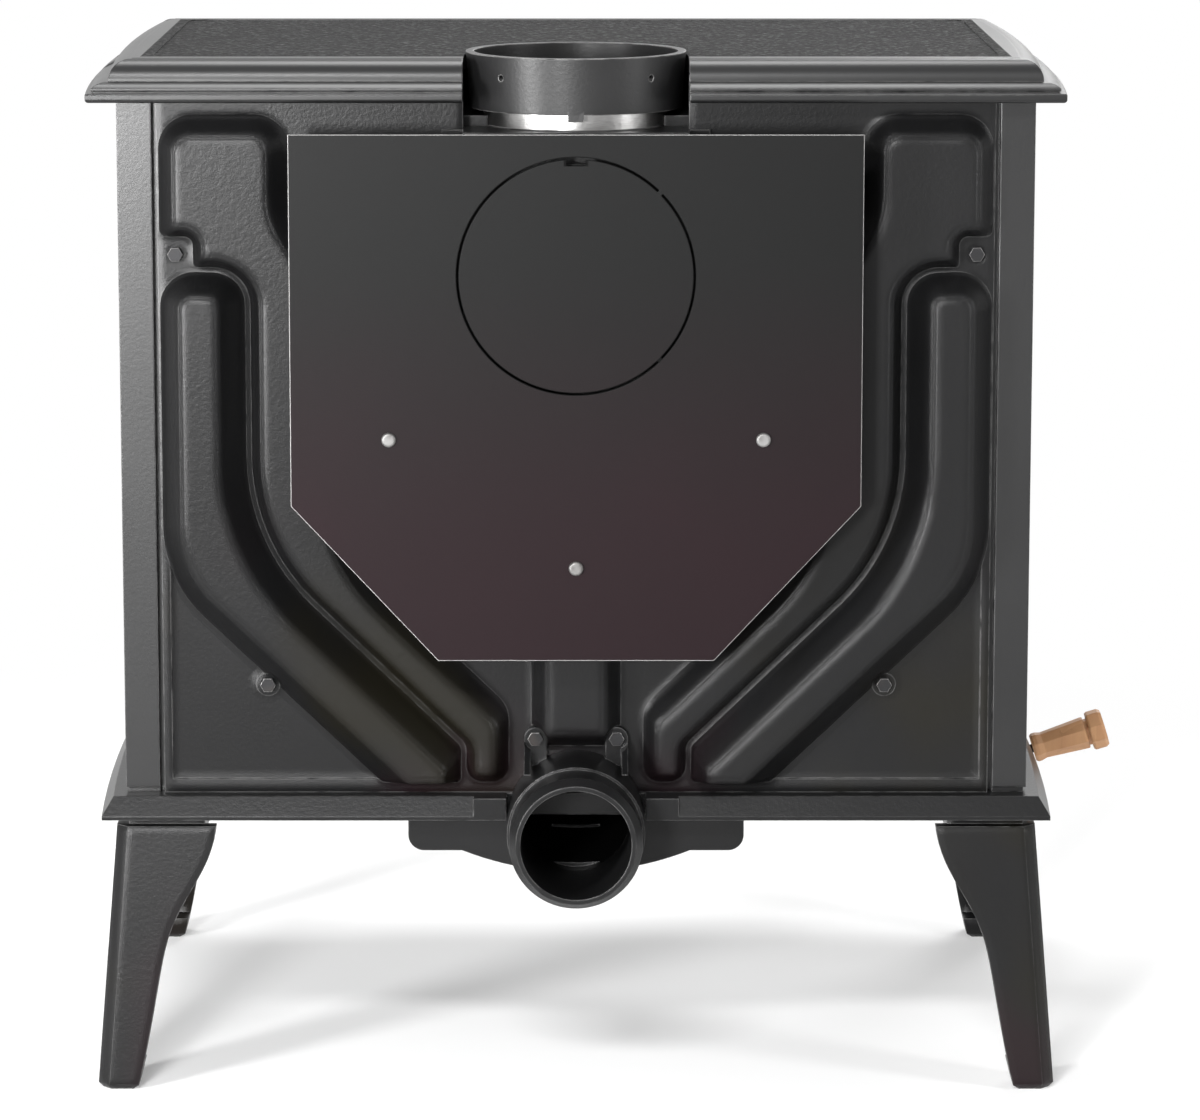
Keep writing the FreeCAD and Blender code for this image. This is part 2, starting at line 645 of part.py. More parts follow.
def side_panel():
    """One side casting: a panelled wall with return strips and inner flanges at front and back."""
    wall = block(SIDE_IN, BODY_HALF_WIDTH, -BODY_HALF_DEPTH, BODY_HALF_DEPTH, BASE_TOP, CEILING_Z)
    flange_out = STRIP_IN + STRIP_WIDTH - FLANGE_WIDTH
    strip = block(STRIP_IN, BODY_HALF_WIDTH, BACK_IN, BODY_HALF_DEPTH, BASE_TOP, CEILING_Z)
    flange = block(flange_out, BODY_HALF_WIDTH, FLANGE_IN, BACK_IN, BASE_TOP, CEILING_Z)
    panel = fuse(wall, strip, flange, *(s.mirror(ORIGIN, BACK) for s in (strip, flange)))
    outer = BODY_HALF_WIDTH - FOOT_GROOVE_DEPTH
    deep = BODY_HALF_DEPTH - FOOT_GROOVE_DEPTH
    low = block(
        0, BODY_HALF_WIDTH, -BODY_HALF_DEPTH, BODY_HALF_DEPTH, BASE_TOP, BASE_TOP + FOOT_GROOVE_HEIGHT
    )
    panel = panel.cut(low.cut(block(0, outer, -deep, deep, BASE_TOP, BASE_TOP + FOOT_GROOVE_HEIGHT)))
    field = rounded(
        -BODY_HALF_DEPTH + FIELD_INSET, BODY_HALF_DEPTH - FIELD_INSET, BASE_TOP + FIELD_INSET,
        LIP_Z - FIELD_INSET,
        PANEL_FIELD_ROUND,
    )
    foot = outline(field, along(BODY_HALF_WIDTH - PANEL_FIELD_DEPTH), [PANEL_FIELD_DEPTH] * len(field))
    mouth = outline(field, along(BODY_HALF_WIDTH))
    panel = panel.cut(Part.makeLoft([foot, mouth], True, True))
    x, z = plate_place(UPPER_BOLT_SHARES)
    panel = panel.cut(bar(BOLT_RADIUS, WALL, V(x, FLANGE_IN, z), BACK))
    return panel.removeSplitter()


def softened(shape, radius, edges):
    """A shape with edges rounded, by a smaller radius where the full one doesn't fit."""
    for share in ROUND_SHARES:
        try:
            smooth = shape.makeFillet(radius * share, edges)
        except Part.OCCError:
            continue
        if smooth.isValid():
            return smooth
    return shape


def duct(shares, height, wall=None):
    """A raised duct on the rear plate with sloping walls and a rounded crown, or the hollow inside it."""
    corners = [(*plate_place(share), share[2] * BODY_HALF_WIDTH) for share in shares]
    slopes = [share[3] for share in shares]
    if wall:
        foot = outline(corners, across(BACK_IN - OVERRUN), [wall] * len(corners))
        brim = outline(corners, across(BODY_HALF_DEPTH), [wall] * len(corners))
        crown = outline(
            corners, across(BODY_HALF_DEPTH + height - wall), [slope + DUCT_DRAFT for slope in slopes]
        )
        hollow = Part.Face(foot).extrude(BACK * (WALL + OVERRUN))
        return hollow.fuse(Part.makeLoft([brim, crown], True, True))
    foot = outline(corners, across(BODY_HALF_DEPTH))
    crown = outline(corners, across(BODY_HALF_DEPTH + height), slopes)
    pad = Part.makeLoft([foot, crown], True, True)
    return softened(pad, DUCT_ROUND, rim_edges(pad, BACK * (BODY_HALF_DEPTH + height), BACK))


def rear_bolt_places():
    """The four bolts that hold the rear plate, with the depth that each one reaches."""
    places = []
    for shares, depth in ((UPPER_BOLT_SHARES, FLANGE_IN), (LOWER_BOLT_SHARES, FIREBACK_IN)):
        x, z = plate_place(shares)
        places += [(x, z, depth), (-x, z, depth)]
    return places


def inlet_bolt_places():
    """The two bolts that hold the air inlet."""
    x, z = plate_place(INLET_BOLT_SHARES)
    return [(x, z), (-x, z)]


def rear_plate():
    """The back casting, with two nested air ducts on each side and a riser in the middle."""
    plate = block(-PLATE_HALF_WIDTH, PLATE_HALF_WIDTH, BACK_IN, BODY_HALF_DEPTH, BASE_TOP, CEILING_Z)
    field = [(*plate_place(share), 0) for share in CORNER_FIELD_SHARES]
    field = prism(field, across(BODY_HALF_DEPTH - CORNER_FIELD_DEPTH), BACK * OVERRUN)
    plate = plate.cut(field).cut(mirrored(field))
    kinds = (
        (OUTER_DUCT_SHARES, OUTER_DUCT_HEIGHT, True), (INNER_DUCT_SHARES, INNER_DUCT_HEIGHT, True),
        (RISER_SHARES, RISER_HEIGHT, False),
    )
    seats = [(x, z) for x, z, _ in rear_bolt_places()] + inlet_bolt_places()
    reach = OUTER_DUCT_HEIGHT + OVERRUN
    for shares, height, paired in kinds:
        pad, hollow = duct(shares, height), duct(shares, height, DUCT_WALL)
        for x, z in seats:
            hollow = hollow.cut(
                bar(BOLT_SEAT_RADIUS + DUCT_WALL, 2 * reach, V(x, BACK_IN - OVERRUN, z), BACK)
            )
        root = pad.fuse(Part.Face(outline(
            [(*plate_place(share), share[2] * BODY_HALF_WIDTH) for share in shares], across(BACK_IN),
        )).extrude(BACK * WALL))
        plate = plate.fuse(root)
        plate = plate.fuse(mirrored(root)) if paired else plate
        plate = plate.cut(hollow)
        plate = plate.cut(mirrored(hollow)) if paired else plate
    for x, z in seats:
        plate = plate.cut(bar(BOLT_SEAT_RADIUS, reach, V(x, BODY_HALF_DEPTH, z), BACK))
        plate = plate.fuse(bar(BOLT_SEAT_RADIUS, WALL, V(x, BACK_IN, z), BACK))
        plate = plate.cut(bar(BOLT_RADIUS + BOLT_HOLE_GAP, 2 * WALL, V(x, BACK_IN - OVERRUN, z), BACK))
    for x, z in inlet_bolt_places():
        plate = plate.cut(
            block(
                x - BOLT_SEAT_RADIUS,
                x + BOLT_SEAT_RADIUS,
                BODY_HALF_DEPTH,
                SHIELD_Y,
                BASE_TOP,
                z,
            )
        )
    notch = BOX_HALF_WIDTH + RUNNING_GAP
    plate = plate.cut(block(-notch, notch, FLANGE_IN, SHIELD_Y, BOX_LOW - RUNNING_GAP, CEILING_Z + OVERRUN))
    for x, z in shield_places():
        plate = plate.cut(bar(SCREW_RADIUS + FIT_GAP, WALL + OVERRUN, V(x, BACK_IN, z), BACK))
    return plate.removeSplitter()


def rear_bolts():
    """Bolts through the rear plate."""
    return group(
        [bolt(V(x, BODY_HALF_DEPTH, z), BACK, BODY_HALF_DEPTH - depth)
        for x, z, depth in rear_bolt_places()]
    )


def front_frame():
    """The front casting round the door opening, with the lower half of each hinge."""
    half = PLATE_HALF_WIDTH
    frame = block(-half, half, FRONT, FRONT_IN, BASE_TOP, CEILING_Z)
    hole = rounded(-OPENING_HALF_WIDTH, OPENING_HALF_WIDTH, OPENING_LOW, OPENING_TOP, OPENING_ROUND)
    frame = frame.cut(prism(hole, across(FRONT - OVERRUN), BACK * (WALL + 2 * OVERRUN)))
    for z in hinge_heights():
        low = z - KNUCKLE_HEIGHT
        frame = frame.fuse(knuckle(low, block(
            HINGE_X - KNUCKLE_RADIUS, HINGE_X + KNUCKLE_RADIUS, HINGE_Y, FRONT, low, z,
        )))
    for x in (-1, 1):
        frame = frame.cut(
            bar(SCREW_RADIUS + FIT_GAP, WALL, V(x * ash_lip_screw(), FRONT, ash_lip_screw_z()), BACK)
        )
    return frame.removeSplitter()


def hinge_heights():
    """The heights at which the door's knuckles sit on the frame's."""
    return [DOOR_LOW + share * DOOR_HEIGHT for share in HINGE_SHARES]


def knuckle(low, arm):
    """A hinge knuckle on its arm, bored for the pin."""
    barrel = bar(KNUCKLE_RADIUS, KNUCKLE_HEIGHT, V(HINGE_X, HINGE_Y, low))
    return barrel.fuse(arm).cut(bar(PIN_RADIUS + FIT_GAP, KNUCKLE_HEIGHT, V(HINGE_X, HINGE_Y, low)))


def hinge_pins():
    """The pins that the door lifts off, headed underneath."""
    pins = []
    for z in hinge_heights():
        foot = V(HINGE_X, HINGE_Y, z - KNUCKLE_HEIGHT)
        pins.append(fuse(
            bar(PIN_HEAD_RADIUS, PIN_HEAD_HEIGHT, foot - UP * PIN_HEAD_HEIGHT),
            bar(PIN_RADIUS, 2 * KNUCKLE_HEIGHT, foot),
        ))
    return group(pins)


def leg():
    """One hollow leg at the +X +Y corner, splayed and curving in to a small foot."""
    top = LEG_HEIGHT - LEG_NECK
    inner = [(a * LEG_TOP_WIDTH, b * LEG_HEIGHT) for a, b in LEG_EDGE_SHARES]
    foot_in = (LEG_SPLAY - LEG_FOOT_WIDTH, 0)
    points = [foot_in, *inner, (-LEG_TOP_WIDTH, top)]

    def face(place, shift=0.0):
        curve = Part.BSplineCurve()
        curve.interpolate([place(a - shift, b) for a, b in points])
        lines = [points[-1], (0, top), (LEG_SPLAY, 0), foot_in]
        edges = [
            Part.makeLine(place(a - shift, b), place(c - shift, d)) for (a, b),
            (c, d) in zip(lines, lines[1:])
        ]
        return Part.Face(Part.Wire([curve.toShape(), *edges]))

    x, y = BASE_HALF_WIDTH - LEG_TOP_INSET, BASE_HALF_DEPTH - LEG_TOP_INSET
    far = 2 * LEG_TOP_WIDTH + LEG_SPLAY

    def body(shift):
        wide = face(lambda a, b: V(x + a, y - far, b), shift).extrude(BACK * 2 * far)
        deep = face(lambda a, b: V(x - far, y + a, b), shift).extrude(SIDE * 2 * far)
        return wide.common(deep)

    hollow = body(LEG_WALL).cut(block(0, x + far, 0, y + far, -OVERRUN, LEG_FOOT_HEIGHT))
    shell = body(0.0).cut(hollow)
    neck_x, neck_y = x - LEG_NECK_INSET, y - LEG_NECK_INSET
    size = LEG_TOP_WIDTH - 2 * LEG_NECK_INSET
    pad = block(neck_x - size, neck_x, neck_y - size, neck_y, LEG_HEIGHT - LEG_PAD_DEPTH, LEG_HEIGHT)
    shell = fuse(shell, pad)
    ridge = [e for e in shell.Edges if is_ridge(e, x, y, top)]
    shell = shell.makeChamfer(LEG_CHAMFER, ridge)
    shell = shell.makeChamfer(LEG_FOOT_BEVEL, rim_edges(shell, ORIGIN, UP))
    bx, by = leg_bolt_places()[-1]
    return shell.cut(bar(LEG_BOLT_RADIUS + FIT_GAP, LEG_HEIGHT, V(bx, by, LEG_FOOT_HEIGHT)))


def is_ridge(edge, x, y, top):
    """Whether an edge is the outer corner of a leg, from its top to its foot."""
    ends = sorted(edge.Vertexes, key=lambda vertex: vertex.Point.z)
    if len(ends) < 2:
        return False
    low, high = ends[0].Point, ends[-1].Point
    return (
        low - V(x + LEG_SPLAY, y + LEG_SPLAY, 0)
    ).Length < OVERRUN and (high - V(x, y, top)).Length < OVERRUN


def leg_bolt_places():
    """The middle of each leg's pad."""
    half = LEG_TOP_WIDTH / 2
    x, y = BASE_HALF_WIDTH - LEG_TOP_INSET - half, BASE_HALF_DEPTH - LEG_TOP_INSET - half
    return [(i * x, j * y) for i in (-1, 1) for j in (-1, 1)]


def leg_bolts():
    """One bolt up through each leg into the base."""
    pad_low = LEG_HEIGHT - LEG_PAD_DEPTH
    return group([
        bolt(
            V(x, y, pad_low), UP * -1, LEG_PAD_DEPTH + LEG_BOLT_GRIP, LEG_BOLT_RADIUS, LEG_BOLT_HEAD,
            LEG_BOLT_HEAD_HEIGHT
        )
        for x, y in leg_bolt_places()
    ])


def flue_box():
    """The smoke outlet: a hollow casting with a neck on top, a rear outlet and a flange on the back."""
    def body(wall):
        half = BOX_HALF_WIDTH - wall
        upper = block(
            -half, half, BOX_FRONT - (OVERRUN if wall else 0), BOX_BACK - wall, BOX_UPPER_LOW + wall,
            BOX_TOP - wall
        )
        lower = block(-half, half, FIREBACK_OUT + wall, BOX_BACK - wall, BOX_LOW + wall, BOX_TOP - wall)
        return upper.fuse(lower).removeSplitter()

    outer = body(0.0)
    flange_out = BOX_HALF_WIDTH + BOX_FLANGE
    flange = block(
        -flange_out, flange_out, BODY_HALF_DEPTH, BODY_HALF_DEPTH + BOX_FLANGE_THICK,
        BOX_LOW - BOX_FLANGE, BOX_TOP,
    )
    boss = bar(BLANK_RADIUS, BOX_WALL + BLANK_BOSS, V(0, BOX_BACK - BOX_WALL, BLANK_Z), BACK)
    outer = fuse(outer, flange, boss, bar(NECK_RADIUS, NECK_HEIGHT, at_flue(BOX_TOP)))
    bore = bar(NECK_RADIUS - NECK_WALL, NECK_HEIGHT + 2 * BOX_WALL, at_flue(BOX_TOP - 2 * BOX_WALL))
    rear = bar(
        BLANK_HOLE_RADIUS, 2 * BOX_WALL + 2 * BLANK_BOSS, V(0, BOX_BACK - 2 * BOX_WALL, BLANK_Z), BACK
    )
    outer = outer.cut(body(BOX_WALL)).cut(bore).cut(rear)
    for x, z in box_bolt_places():
        outer = outer.cut(
            bar(BOLT_RADIUS + BOLT_HOLE_GAP, 2 * BOX_FLANGE_THICK, V(x, BODY_HALF_DEPTH - OVERRUN, z), BACK)
        )
    for x, z in blank_bolt_places():
        outer = outer.cut(bar(BOLT_RADIUS, BLANK_BOSS, V(x, BOX_BACK, z), BACK))
    return outer


def box_bolt_places():
    """The bolts at the corners of the flue box's flange."""
    x = BOX_HALF_WIDTH + BOX_FLANGE / 2
    return [(i * x, z) for i in (-1, 1) for z in (BOX_LOW + BOX_FLANGE, BOX_TOP - BOX_FLANGE)]


def blank_bolt_places():
    """The four bolts round the rear outlet."""
    radius = (BLANK_RADIUS + BLANK_HOLE_RADIUS) / 2
    turns = [math.pi / 4 + i * math.pi / 2 for i in range(4)]
    return [(radius * math.cos(turn), BLANK_Z + radius * math.sin(turn)) for turn in turns]


def flue_box_bolts():
    """Bolts that hold the flue box to the rear plate."""
    head = BODY_HALF_DEPTH + BOX_FLANGE_THICK
    return group([bolt(V(x, head, z), BACK, BOX_FLANGE_THICK) for x, z in box_bolt_places()])


def flue_blank():
    """The disc that closes the rear outlet."""
    disc = bar(BLANK_RADIUS, BLANK_THICK, V(0, BOX_BACK + BLANK_BOSS, BLANK_Z), BACK)
    for x, z in blank_bolt_places():
        disc = disc.cut(
            bar(BOLT_RADIUS + BOLT_HOLE_GAP, 2 * BLANK_THICK, V(x, BOX_BACK + BLANK_BOSS, z), BACK)
        )
    return disc


def flue_blank_bolts():
    """Bolts that hold the disc."""
    head = BOX_BACK + BLANK_BOSS + BLANK_THICK
    return group([bolt(V(x, head, z), BACK, BLANK_THICK + BLANK_BOSS) for x, z in blank_bolt_places()])


def flue_gasket():
    """The flat ring between neck and collar."""
    return tube(NECK_RADIUS, NECK_RADIUS - NECK_WALL, GASKET_THICK, at_flue(NECK_TOP))


def flue_collar():
    """The pipe collar: slightly tapered outside, with an inner stop and three screw holes."""
    low, high = COLLAR_BORE + COLLAR_WALL - COLLAR_TAPER, COLLAR_BORE + COLLAR_WALL
    ring = Part.makeCone(low, high, COLLAR_HEIGHT, at_flue(COLLAR_LOW))
    lug = block(
        -COLLAR_LUG_WIDTH / 2, COLLAR_LUG_WIDTH / 2, FLUE_Y + NECK_RADIUS + RUNNING_GAP, FLUE_Y + low,
        COLLAR_LOW - COLLAR_LUG_DROP, COLLAR_LOW + COLLAR_LUG_DROP,
    )
    ring = ring.fuse(lug)
    ring = ring.cut(bar(COLLAR_BORE, COLLAR_HEIGHT, at_flue(STOP_Z + COLLAR_STOP_THICK)))
    ring = ring.cut(bar(NECK_RADIUS + RUNNING_GAP, STOP_Z - COLLAR_LOW, at_flue(COLLAR_LOW)))
    ring = ring.cut(bar(NECK_RADIUS - NECK_WALL, COLLAR_HEIGHT, at_flue(COLLAR_LOW)))
    height = (COLLAR_TOP + STOP_Z + COLLAR_STOP_THICK) / 2
    for angle in COLLAR_HOLE_ANGLES:
        way = V(math.cos(math.radians(angle)), math.sin(math.radians(angle)), 0)
        ring = ring.cut(bar(COLLAR_HOLE_RADIUS, 2 * COLLAR_BORE, at_flue(height), way))
    return ring.removeSplitter()


def shield_places():
    """The three screws of the shield."""
    x = SHIELD_SIDE_SCREW_SHARES[0] * SHIELD_HALF_WIDTH
    side_z = SHIELD_TOP - SHIELD_HEIGHT + SHIELD_SIDE_SCREW_SHARES[1] * SHIELD_HEIGHT
    low_z = SHIELD_TOP - SHIELD_HEIGHT + SHIELD_LOW_SCREW_SHARES[1] * SHIELD_HEIGHT
    return [(x, side_z), (-x, side_z), (0, low_z)]


def rear_shield():
    """The sheet heat shield, with a round knock-out held by narrow bridges."""
    half, low = SHIELD_HALF_WIDTH, SHIELD_TOP - SHIELD_HEIGHT
    corners = [
        (-half, SHIELD_TOP, 0), (half, SHIELD_TOP, 0), (half, low + SHIELD_CHAMFER_HEIGHT, 0),
        (half - SHIELD_CHAMFER_WIDTH, low, 0), (-half + SHIELD_CHAMFER_WIDTH, low, 0),
        (-half, low + SHIELD_CHAMFER_HEIGHT, 0),
    ]
    sheet = prism(corners, across(SHIELD_Y), BACK * SHIELD_THICK)
    middle = V(0, SHIELD_Y, BLANK_Z)
    slot = tube(KNOCKOUT_RADIUS, KNOCKOUT_RADIUS - KNOCKOUT_SLOT, SHIELD_THICK, middle, BACK)
    for angle in KNOCKOUT_BRIDGE_ANGLES:
        bridge = block(0, 2 * KNOCKOUT_RADIUS, SHIELD_Y, SHIELD_Y + SHIELD_THICK, 0, KNOCKOUT_BRIDGE)
        bridge.translate(V(0, 0, BLANK_Z - KNOCKOUT_BRIDGE / 2))
        bridge.rotate(middle, BACK, angle)
        slot = slot.cut(bridge)
    pry_low = BLANK_Z + KNOCKOUT_RADIUS - KNOCKOUT_SLOT
    pry = block(
        -PRY_WIDTH / 2, PRY_WIDTH / 2, SHIELD_Y, SHIELD_Y + SHIELD_THICK, pry_low - PRY_HEIGHT, pry_low
    )
    sheet = sheet.cut(slot).cut(pry)
    for x, z in shield_places():
        sheet = sheet.cut(bar(SCREW_RADIUS + FIT_GAP, SHIELD_THICK, V(x, SHIELD_Y, z), BACK))
    return sheet


def shield_spacers():
    """Pillars that stand the shield off the back."""
    return group([
        tube(SPACER_RADIUS, SCREW_RADIUS + FIT_GAP, SHIELD_STANDOFF, V(x, BODY_HALF_DEPTH, z), BACK)
        for x, z in shield_places()
    ])


def shield_screws():
    """Screws through shield, spacer and rear plate."""
    shank = SHIELD_STANDOFF + SHIELD_THICK + WALL
    return group([screw(V(x, SHIELD_Y + SHIELD_THICK, z), BACK, shank) for x, z in shield_places()])


def at_inlet(y):
    """The point on the air inlet's axis at a depth."""
    return V(0, y, INLET_Z)


def air_inlet():
    """The outside-air spigot with its two ribbed ears."""
    mouth = INLET_Y + INLET_LENGTH - INLET_SET_OFF
    spigot = bar(INLET_RADIUS, mouth - INLET_CHAMFER_LENGTH - INLET_Y, at_inlet(INLET_Y), BACK)
    shoulder = bar(INLET_SHOULDER, INLET_SHOULDER_LENGTH - INLET_SET_OFF, at_inlet(INLET_Y), BACK)
    nose = Part.makeCone(
        INLET_RADIUS, INLET_RADIUS - INLET_CHAMFER, INLET_CHAMFER_LENGTH,
        at_inlet(mouth - INLET_CHAMFER_LENGTH), BACK,
    )
    ears = []
    for x, z in inlet_bolt_places():
        ears.append(bar(EAR_RADIUS, EAR_THICK, V(x, BODY_HALF_DEPTH, z), BACK))
        neck = block(
            x - EAR_RADIUS, x + EAR_RADIUS, INLET_Y, BODY_HALF_DEPTH + EAR_THICK, INLET_Z + INLET_BORE,
            z
        )
        rib = [
            (INLET_Y, z, 0), (BODY_HALF_DEPTH + EAR_THICK, z, 0),
            (BODY_HALF_DEPTH + EAR_RIB_REACH, INLET_Z + INLET_BORE, 0),
            (INLET_Y, INLET_Z + INLET_BORE, 0),
        ]
        outer = x + math.copysign(EAR_RADIUS - EAR_RIB / 2, x) - EAR_RIB / 2
        ears += [neck, prism(rib, along(outer), SIDE * EAR_RIB)]
    inlet = fuse(spigot, shoulder, nose, *ears)
    inlet = inlet.cut(bar(INLET_BORE, INLET_LENGTH, at_inlet(INLET_Y), BACK))
    for x, z in inlet_bolt_places():
        inlet = inlet.cut(bar(BOLT_RADIUS + BOLT_HOLE_GAP, EAR_THICK, V(x, BODY_HALF_DEPTH, z), BACK))
        inlet = inlet.cut(bar(BOLT_SEAT_RADIUS, INLET_LENGTH, V(x, BODY_HALF_DEPTH + EAR_THICK, z), BACK))
    return inlet.removeSplitter()


def inlet_bolts():
    """Bolts through the inlet's ears."""
    head = BODY_HALF_DEPTH + EAR_THICK
    return group([bolt(V(x, head, z), BACK, EAR_THICK + WALL) for x, z in inlet_bolt_places()])


def air_box():
    """The air duct under the base: an open-topped channel with a bellied floor."""
    def section(wall):
        half, belly = AIR_BOX_HALF_WIDTH - wall, BELLY_HALF_WIDTH - wall
        low = LEG_HEIGHT - AIR_BOX_HEIGHT + wall
        top = LEG_HEIGHT + (OVERRUN if wall else 0)
        turn = AIR_BOX_ROUND - wall
        side = turn * (1 - math.sqrt(0.5))
        moves = [
            (-half, low + turn), (-half + side, low + side, -half + turn, low), (-belly, low),
            (0, low - BELLY_DROP, belly, low), (half - turn, low),
            (half - side, low + side, half, low + turn),
            (half, top),
        ]
        return (-half, top), moves

    back = INLET_Y
    outer = profile_face(*section(0.0), across(back - AIR_BOX_LENGTH)).extrude(BACK * AIR_BOX_LENGTH)
    inner_length = AIR_BOX_LENGTH - 2 * AIR_BOX_WALL
    inner = profile_face(*section(AIR_BOX_WALL), across(back - AIR_BOX_LENGTH + AIR_BOX_WALL))
    box = outer.cut(inner.extrude(BACK * inner_length))
    box = box.cut(bar(INLET_BORE, 2 * AIR_BOX_WALL, at_inlet(back - 2 * AIR_BOX_WALL), BACK))
    slot_y = BODY_HALF_DEPTH - FLOOR_SLOT_BACKSET
    half = FLOOR_SLOT_LENGTH / 2
    box = box.cut(
        block(-half, half, slot_y - FLOOR_SLOT_WIDTH / 2, slot_y + FLOOR_SLOT_WIDTH / 2, 0, INLET_Z)
    )
    rod_at = V(-AIR_BOX_HALF_WIDTH - OVERRUN, -ROD_SETBACK, ROD_Z)
    return box.cut(bar(ROD_RADIUS + RUNNING_GAP, AIR_BOX_WALL + 2 * OVERRUN, rod_at, SIDE))


def octagon(width, place):
    """An eight-sided section of a grip."""
    radius = width / 2 / math.cos(math.pi / GRIP_SIDES)
    turns = [(i + 0.5) * 2 * math.pi / GRIP_SIDES for i in range(GRIP_SIDES)]
    points = [V(radius * math.cos(turn), radius * math.sin(turn), place) for turn in turns]
    return Part.makePolygon(points + points[:1])


def grip(length, bore, depth):
    """A turned and faceted wooden grip along +Z from the origin, bored for its tang."""
    sections = [octagon(across_share * GRIP_WIDTH, share * length) for share, across_share in GRIP_SHARES]
    return Part.makeLoft(sections, True, True).cut(bar(bore, depth, ORIGIN))


def grip_axis():
    """The direction of the air control's grip: outward to -X and tilted up."""
    return V(-math.cos(math.radians(GRIP_TILT)), 0, math.sin(math.radians(GRIP_TILT)))


def air_rod():
    """The bent steel rod of the air control, running under the base to the shutter."""
    bend = V(-ROD_BEND_REACH, -ROD_SETBACK, ROD_Z)
    reach = ROD_BEND_ROUND * math.tan(math.radians(GRIP_TILT / 2))
    start = V(-SHUTTER_LAP, -ROD_SETBACK, ROD_Z)
    into, out = bend + SIDE * reach, bend + grip_axis() * reach
    sag = ROD_BEND_ROUND / math.cos(math.radians(GRIP_TILT / 2)) - ROD_BEND_ROUND
    middle = bend + (SIDE + grip_axis()).normalize() * sag
    end = bend + grip_axis() * (GRIP_START + ROD_IN_GRIP)
    path = Part.Wire([
        Part.makeLine(start, into), Part.Arc(into, middle, out).toShape(), Part.makeLine(out, end),
    ])
    return path.makePipeShell([Part.Wire(Part.makeCircle(ROD_RADIUS, start, SIDE))], True, True)


def air_grip():
    """The wooden grip on the air control."""
    wood = grip(GRIP_LENGTH, ROD_RADIUS + FIT_GAP, ROD_IN_GRIP + FIT_GAP)
    foot = V(-ROD_BEND_REACH, -ROD_SETBACK, ROD_Z) + grip_axis() * GRIP_START
    wood.Placement = FreeCAD.Placement(foot, FreeCAD.Rotation(UP, grip_axis()))
    return wood


def air_shutter():
    """The sliding plate under the air port, with the lug that holds the rod."""
    x0, x1, y0, y1 = rod_port()
    top = LEG_HEIGHT - RUNNING_GAP
    plate = block(
        x0 - SHUTTER_LAP, x1 + SHUTTER_LAP, y0 - SHUTTER_LAP, y1 + SHUTTER_LAP, top - SHUTTER_THICK, top
    )
    half = SHUTTER_LUG / 2
    start = x0 - SHUTTER_LAP
    lug = block(
        start, start + SHUTTER_LUG, -ROD_SETBACK - half, -ROD_SETBACK + half, ROD_Z - half,
        top - SHUTTER_THICK
    )
    return fuse(plate, lug).cut(bar(ROD_RADIUS, SHUTTER_LUG, V(start, -ROD_SETBACK, ROD_Z), SIDE))


def hearth_plate():
    """The firebox floor on the base's ribs, slotted for air along the door."""
    plate = block(-LINER_OUT, LINER_OUT, FRONT_IN + WALL, FIREBACK_OUT, HEARTH_Z, FLOOR_Z)
    y = FRONT_IN + WALL + AIR_SLOT_SETBACK
    for i in range(AIR_SLOTS):
        x = (i - (AIR_SLOTS - 1) / 2) * AIR_SLOT_PITCH
        plate = plate.cut(block(
            x - AIR_SLOT_LENGTH / 2, x + AIR_SLOT_LENGTH / 2, y - AIR_SLOT_WIDTH / 2,
            y + AIR_SLOT_WIDTH / 2,
            HEARTH_Z - OVERRUN, FLOOR_Z + OVERRUN,
        ))
    return plate


def liner():
    """One inner side wall of the firebox."""
    return block(LINER_IN, LINER_OUT, FRONT_IN + WALL, FIREBACK_IN, FLOOR_Z, BOX_TOP)


def fireback():
    """The inner back wall, notched for the flue box, with pillars to the rear plate."""
    plate = block(-LINER_OUT, LINER_OUT, FIREBACK_IN, FIREBACK_OUT, FLOOR_Z, BOX_TOP)
    notch = BOX_HALF_WIDTH + RUNNING_GAP
    plate = plate.cut(block(
        -notch, notch, FIREBACK_IN - OVERRUN, FIREBACK_OUT + OVERRUN, BOX_UPPER_LOW - RUNNING_GAP,
        BOX_TOP + OVERRUN,
    ))
    for x, z, depth in rear_bolt_places():
        if depth == FIREBACK_IN:
            plate = plate.fuse(bar(REAR_SPACER_RADIUS, BACK_IN - FIREBACK_OUT, V(x, FIREBACK_OUT, z), BACK))
            plate = plate.cut(bar(BOLT_RADIUS + FIT_GAP, BACK_IN - FIREBACK_IN, V(x, FIREBACK_IN, z), BACK))
    return plate


def inner_top():
    """The smoke dome over the firebox, open round the flue neck."""
    plate = block(-LINER_OUT, LINER_OUT, FRONT_IN + WALL, FIREBACK_OUT, BOX_TOP, BOX_TOP + WALL)
    return plate.cut(bar(NECK_RADIUS + RUNNING_GAP, 2 * WALL, at_flue(BOX_TOP)))


def spans(low, high, count):
    """Equal lengths between two limits, with a thin joint between neighbours."""
    pitch = (high - low) / count
    return [
        (low + i * pitch + BRICK_JOINT / 2, low + (i + 1) * pitch - BRICK_JOINT / 2)
        for i in range(count)
    ]


def side_bricks():
    """The firebricks of one side."""
    inner = LINER_IN - BRICK_THICK
    return group([
        block(inner, LINER_IN, y0, y1, FLOOR_Z, BRICK_TOP) for y0,
        y1 in spans(FRONT_IN + WALL, FIREBACK_IN, SIDE_BRICKS)
    ])


def rear_bricks():
    """The firebricks of the back."""
    half = LINER_IN - BRICK_THICK
    return group([
        block(x0, x1, FIREBACK_IN - BRICK_THICK, FIREBACK_IN, FLOOR_Z, BRICK_TOP) for x0,
        x1 in spans(-half, half, REAR_BRICKS)
    ])


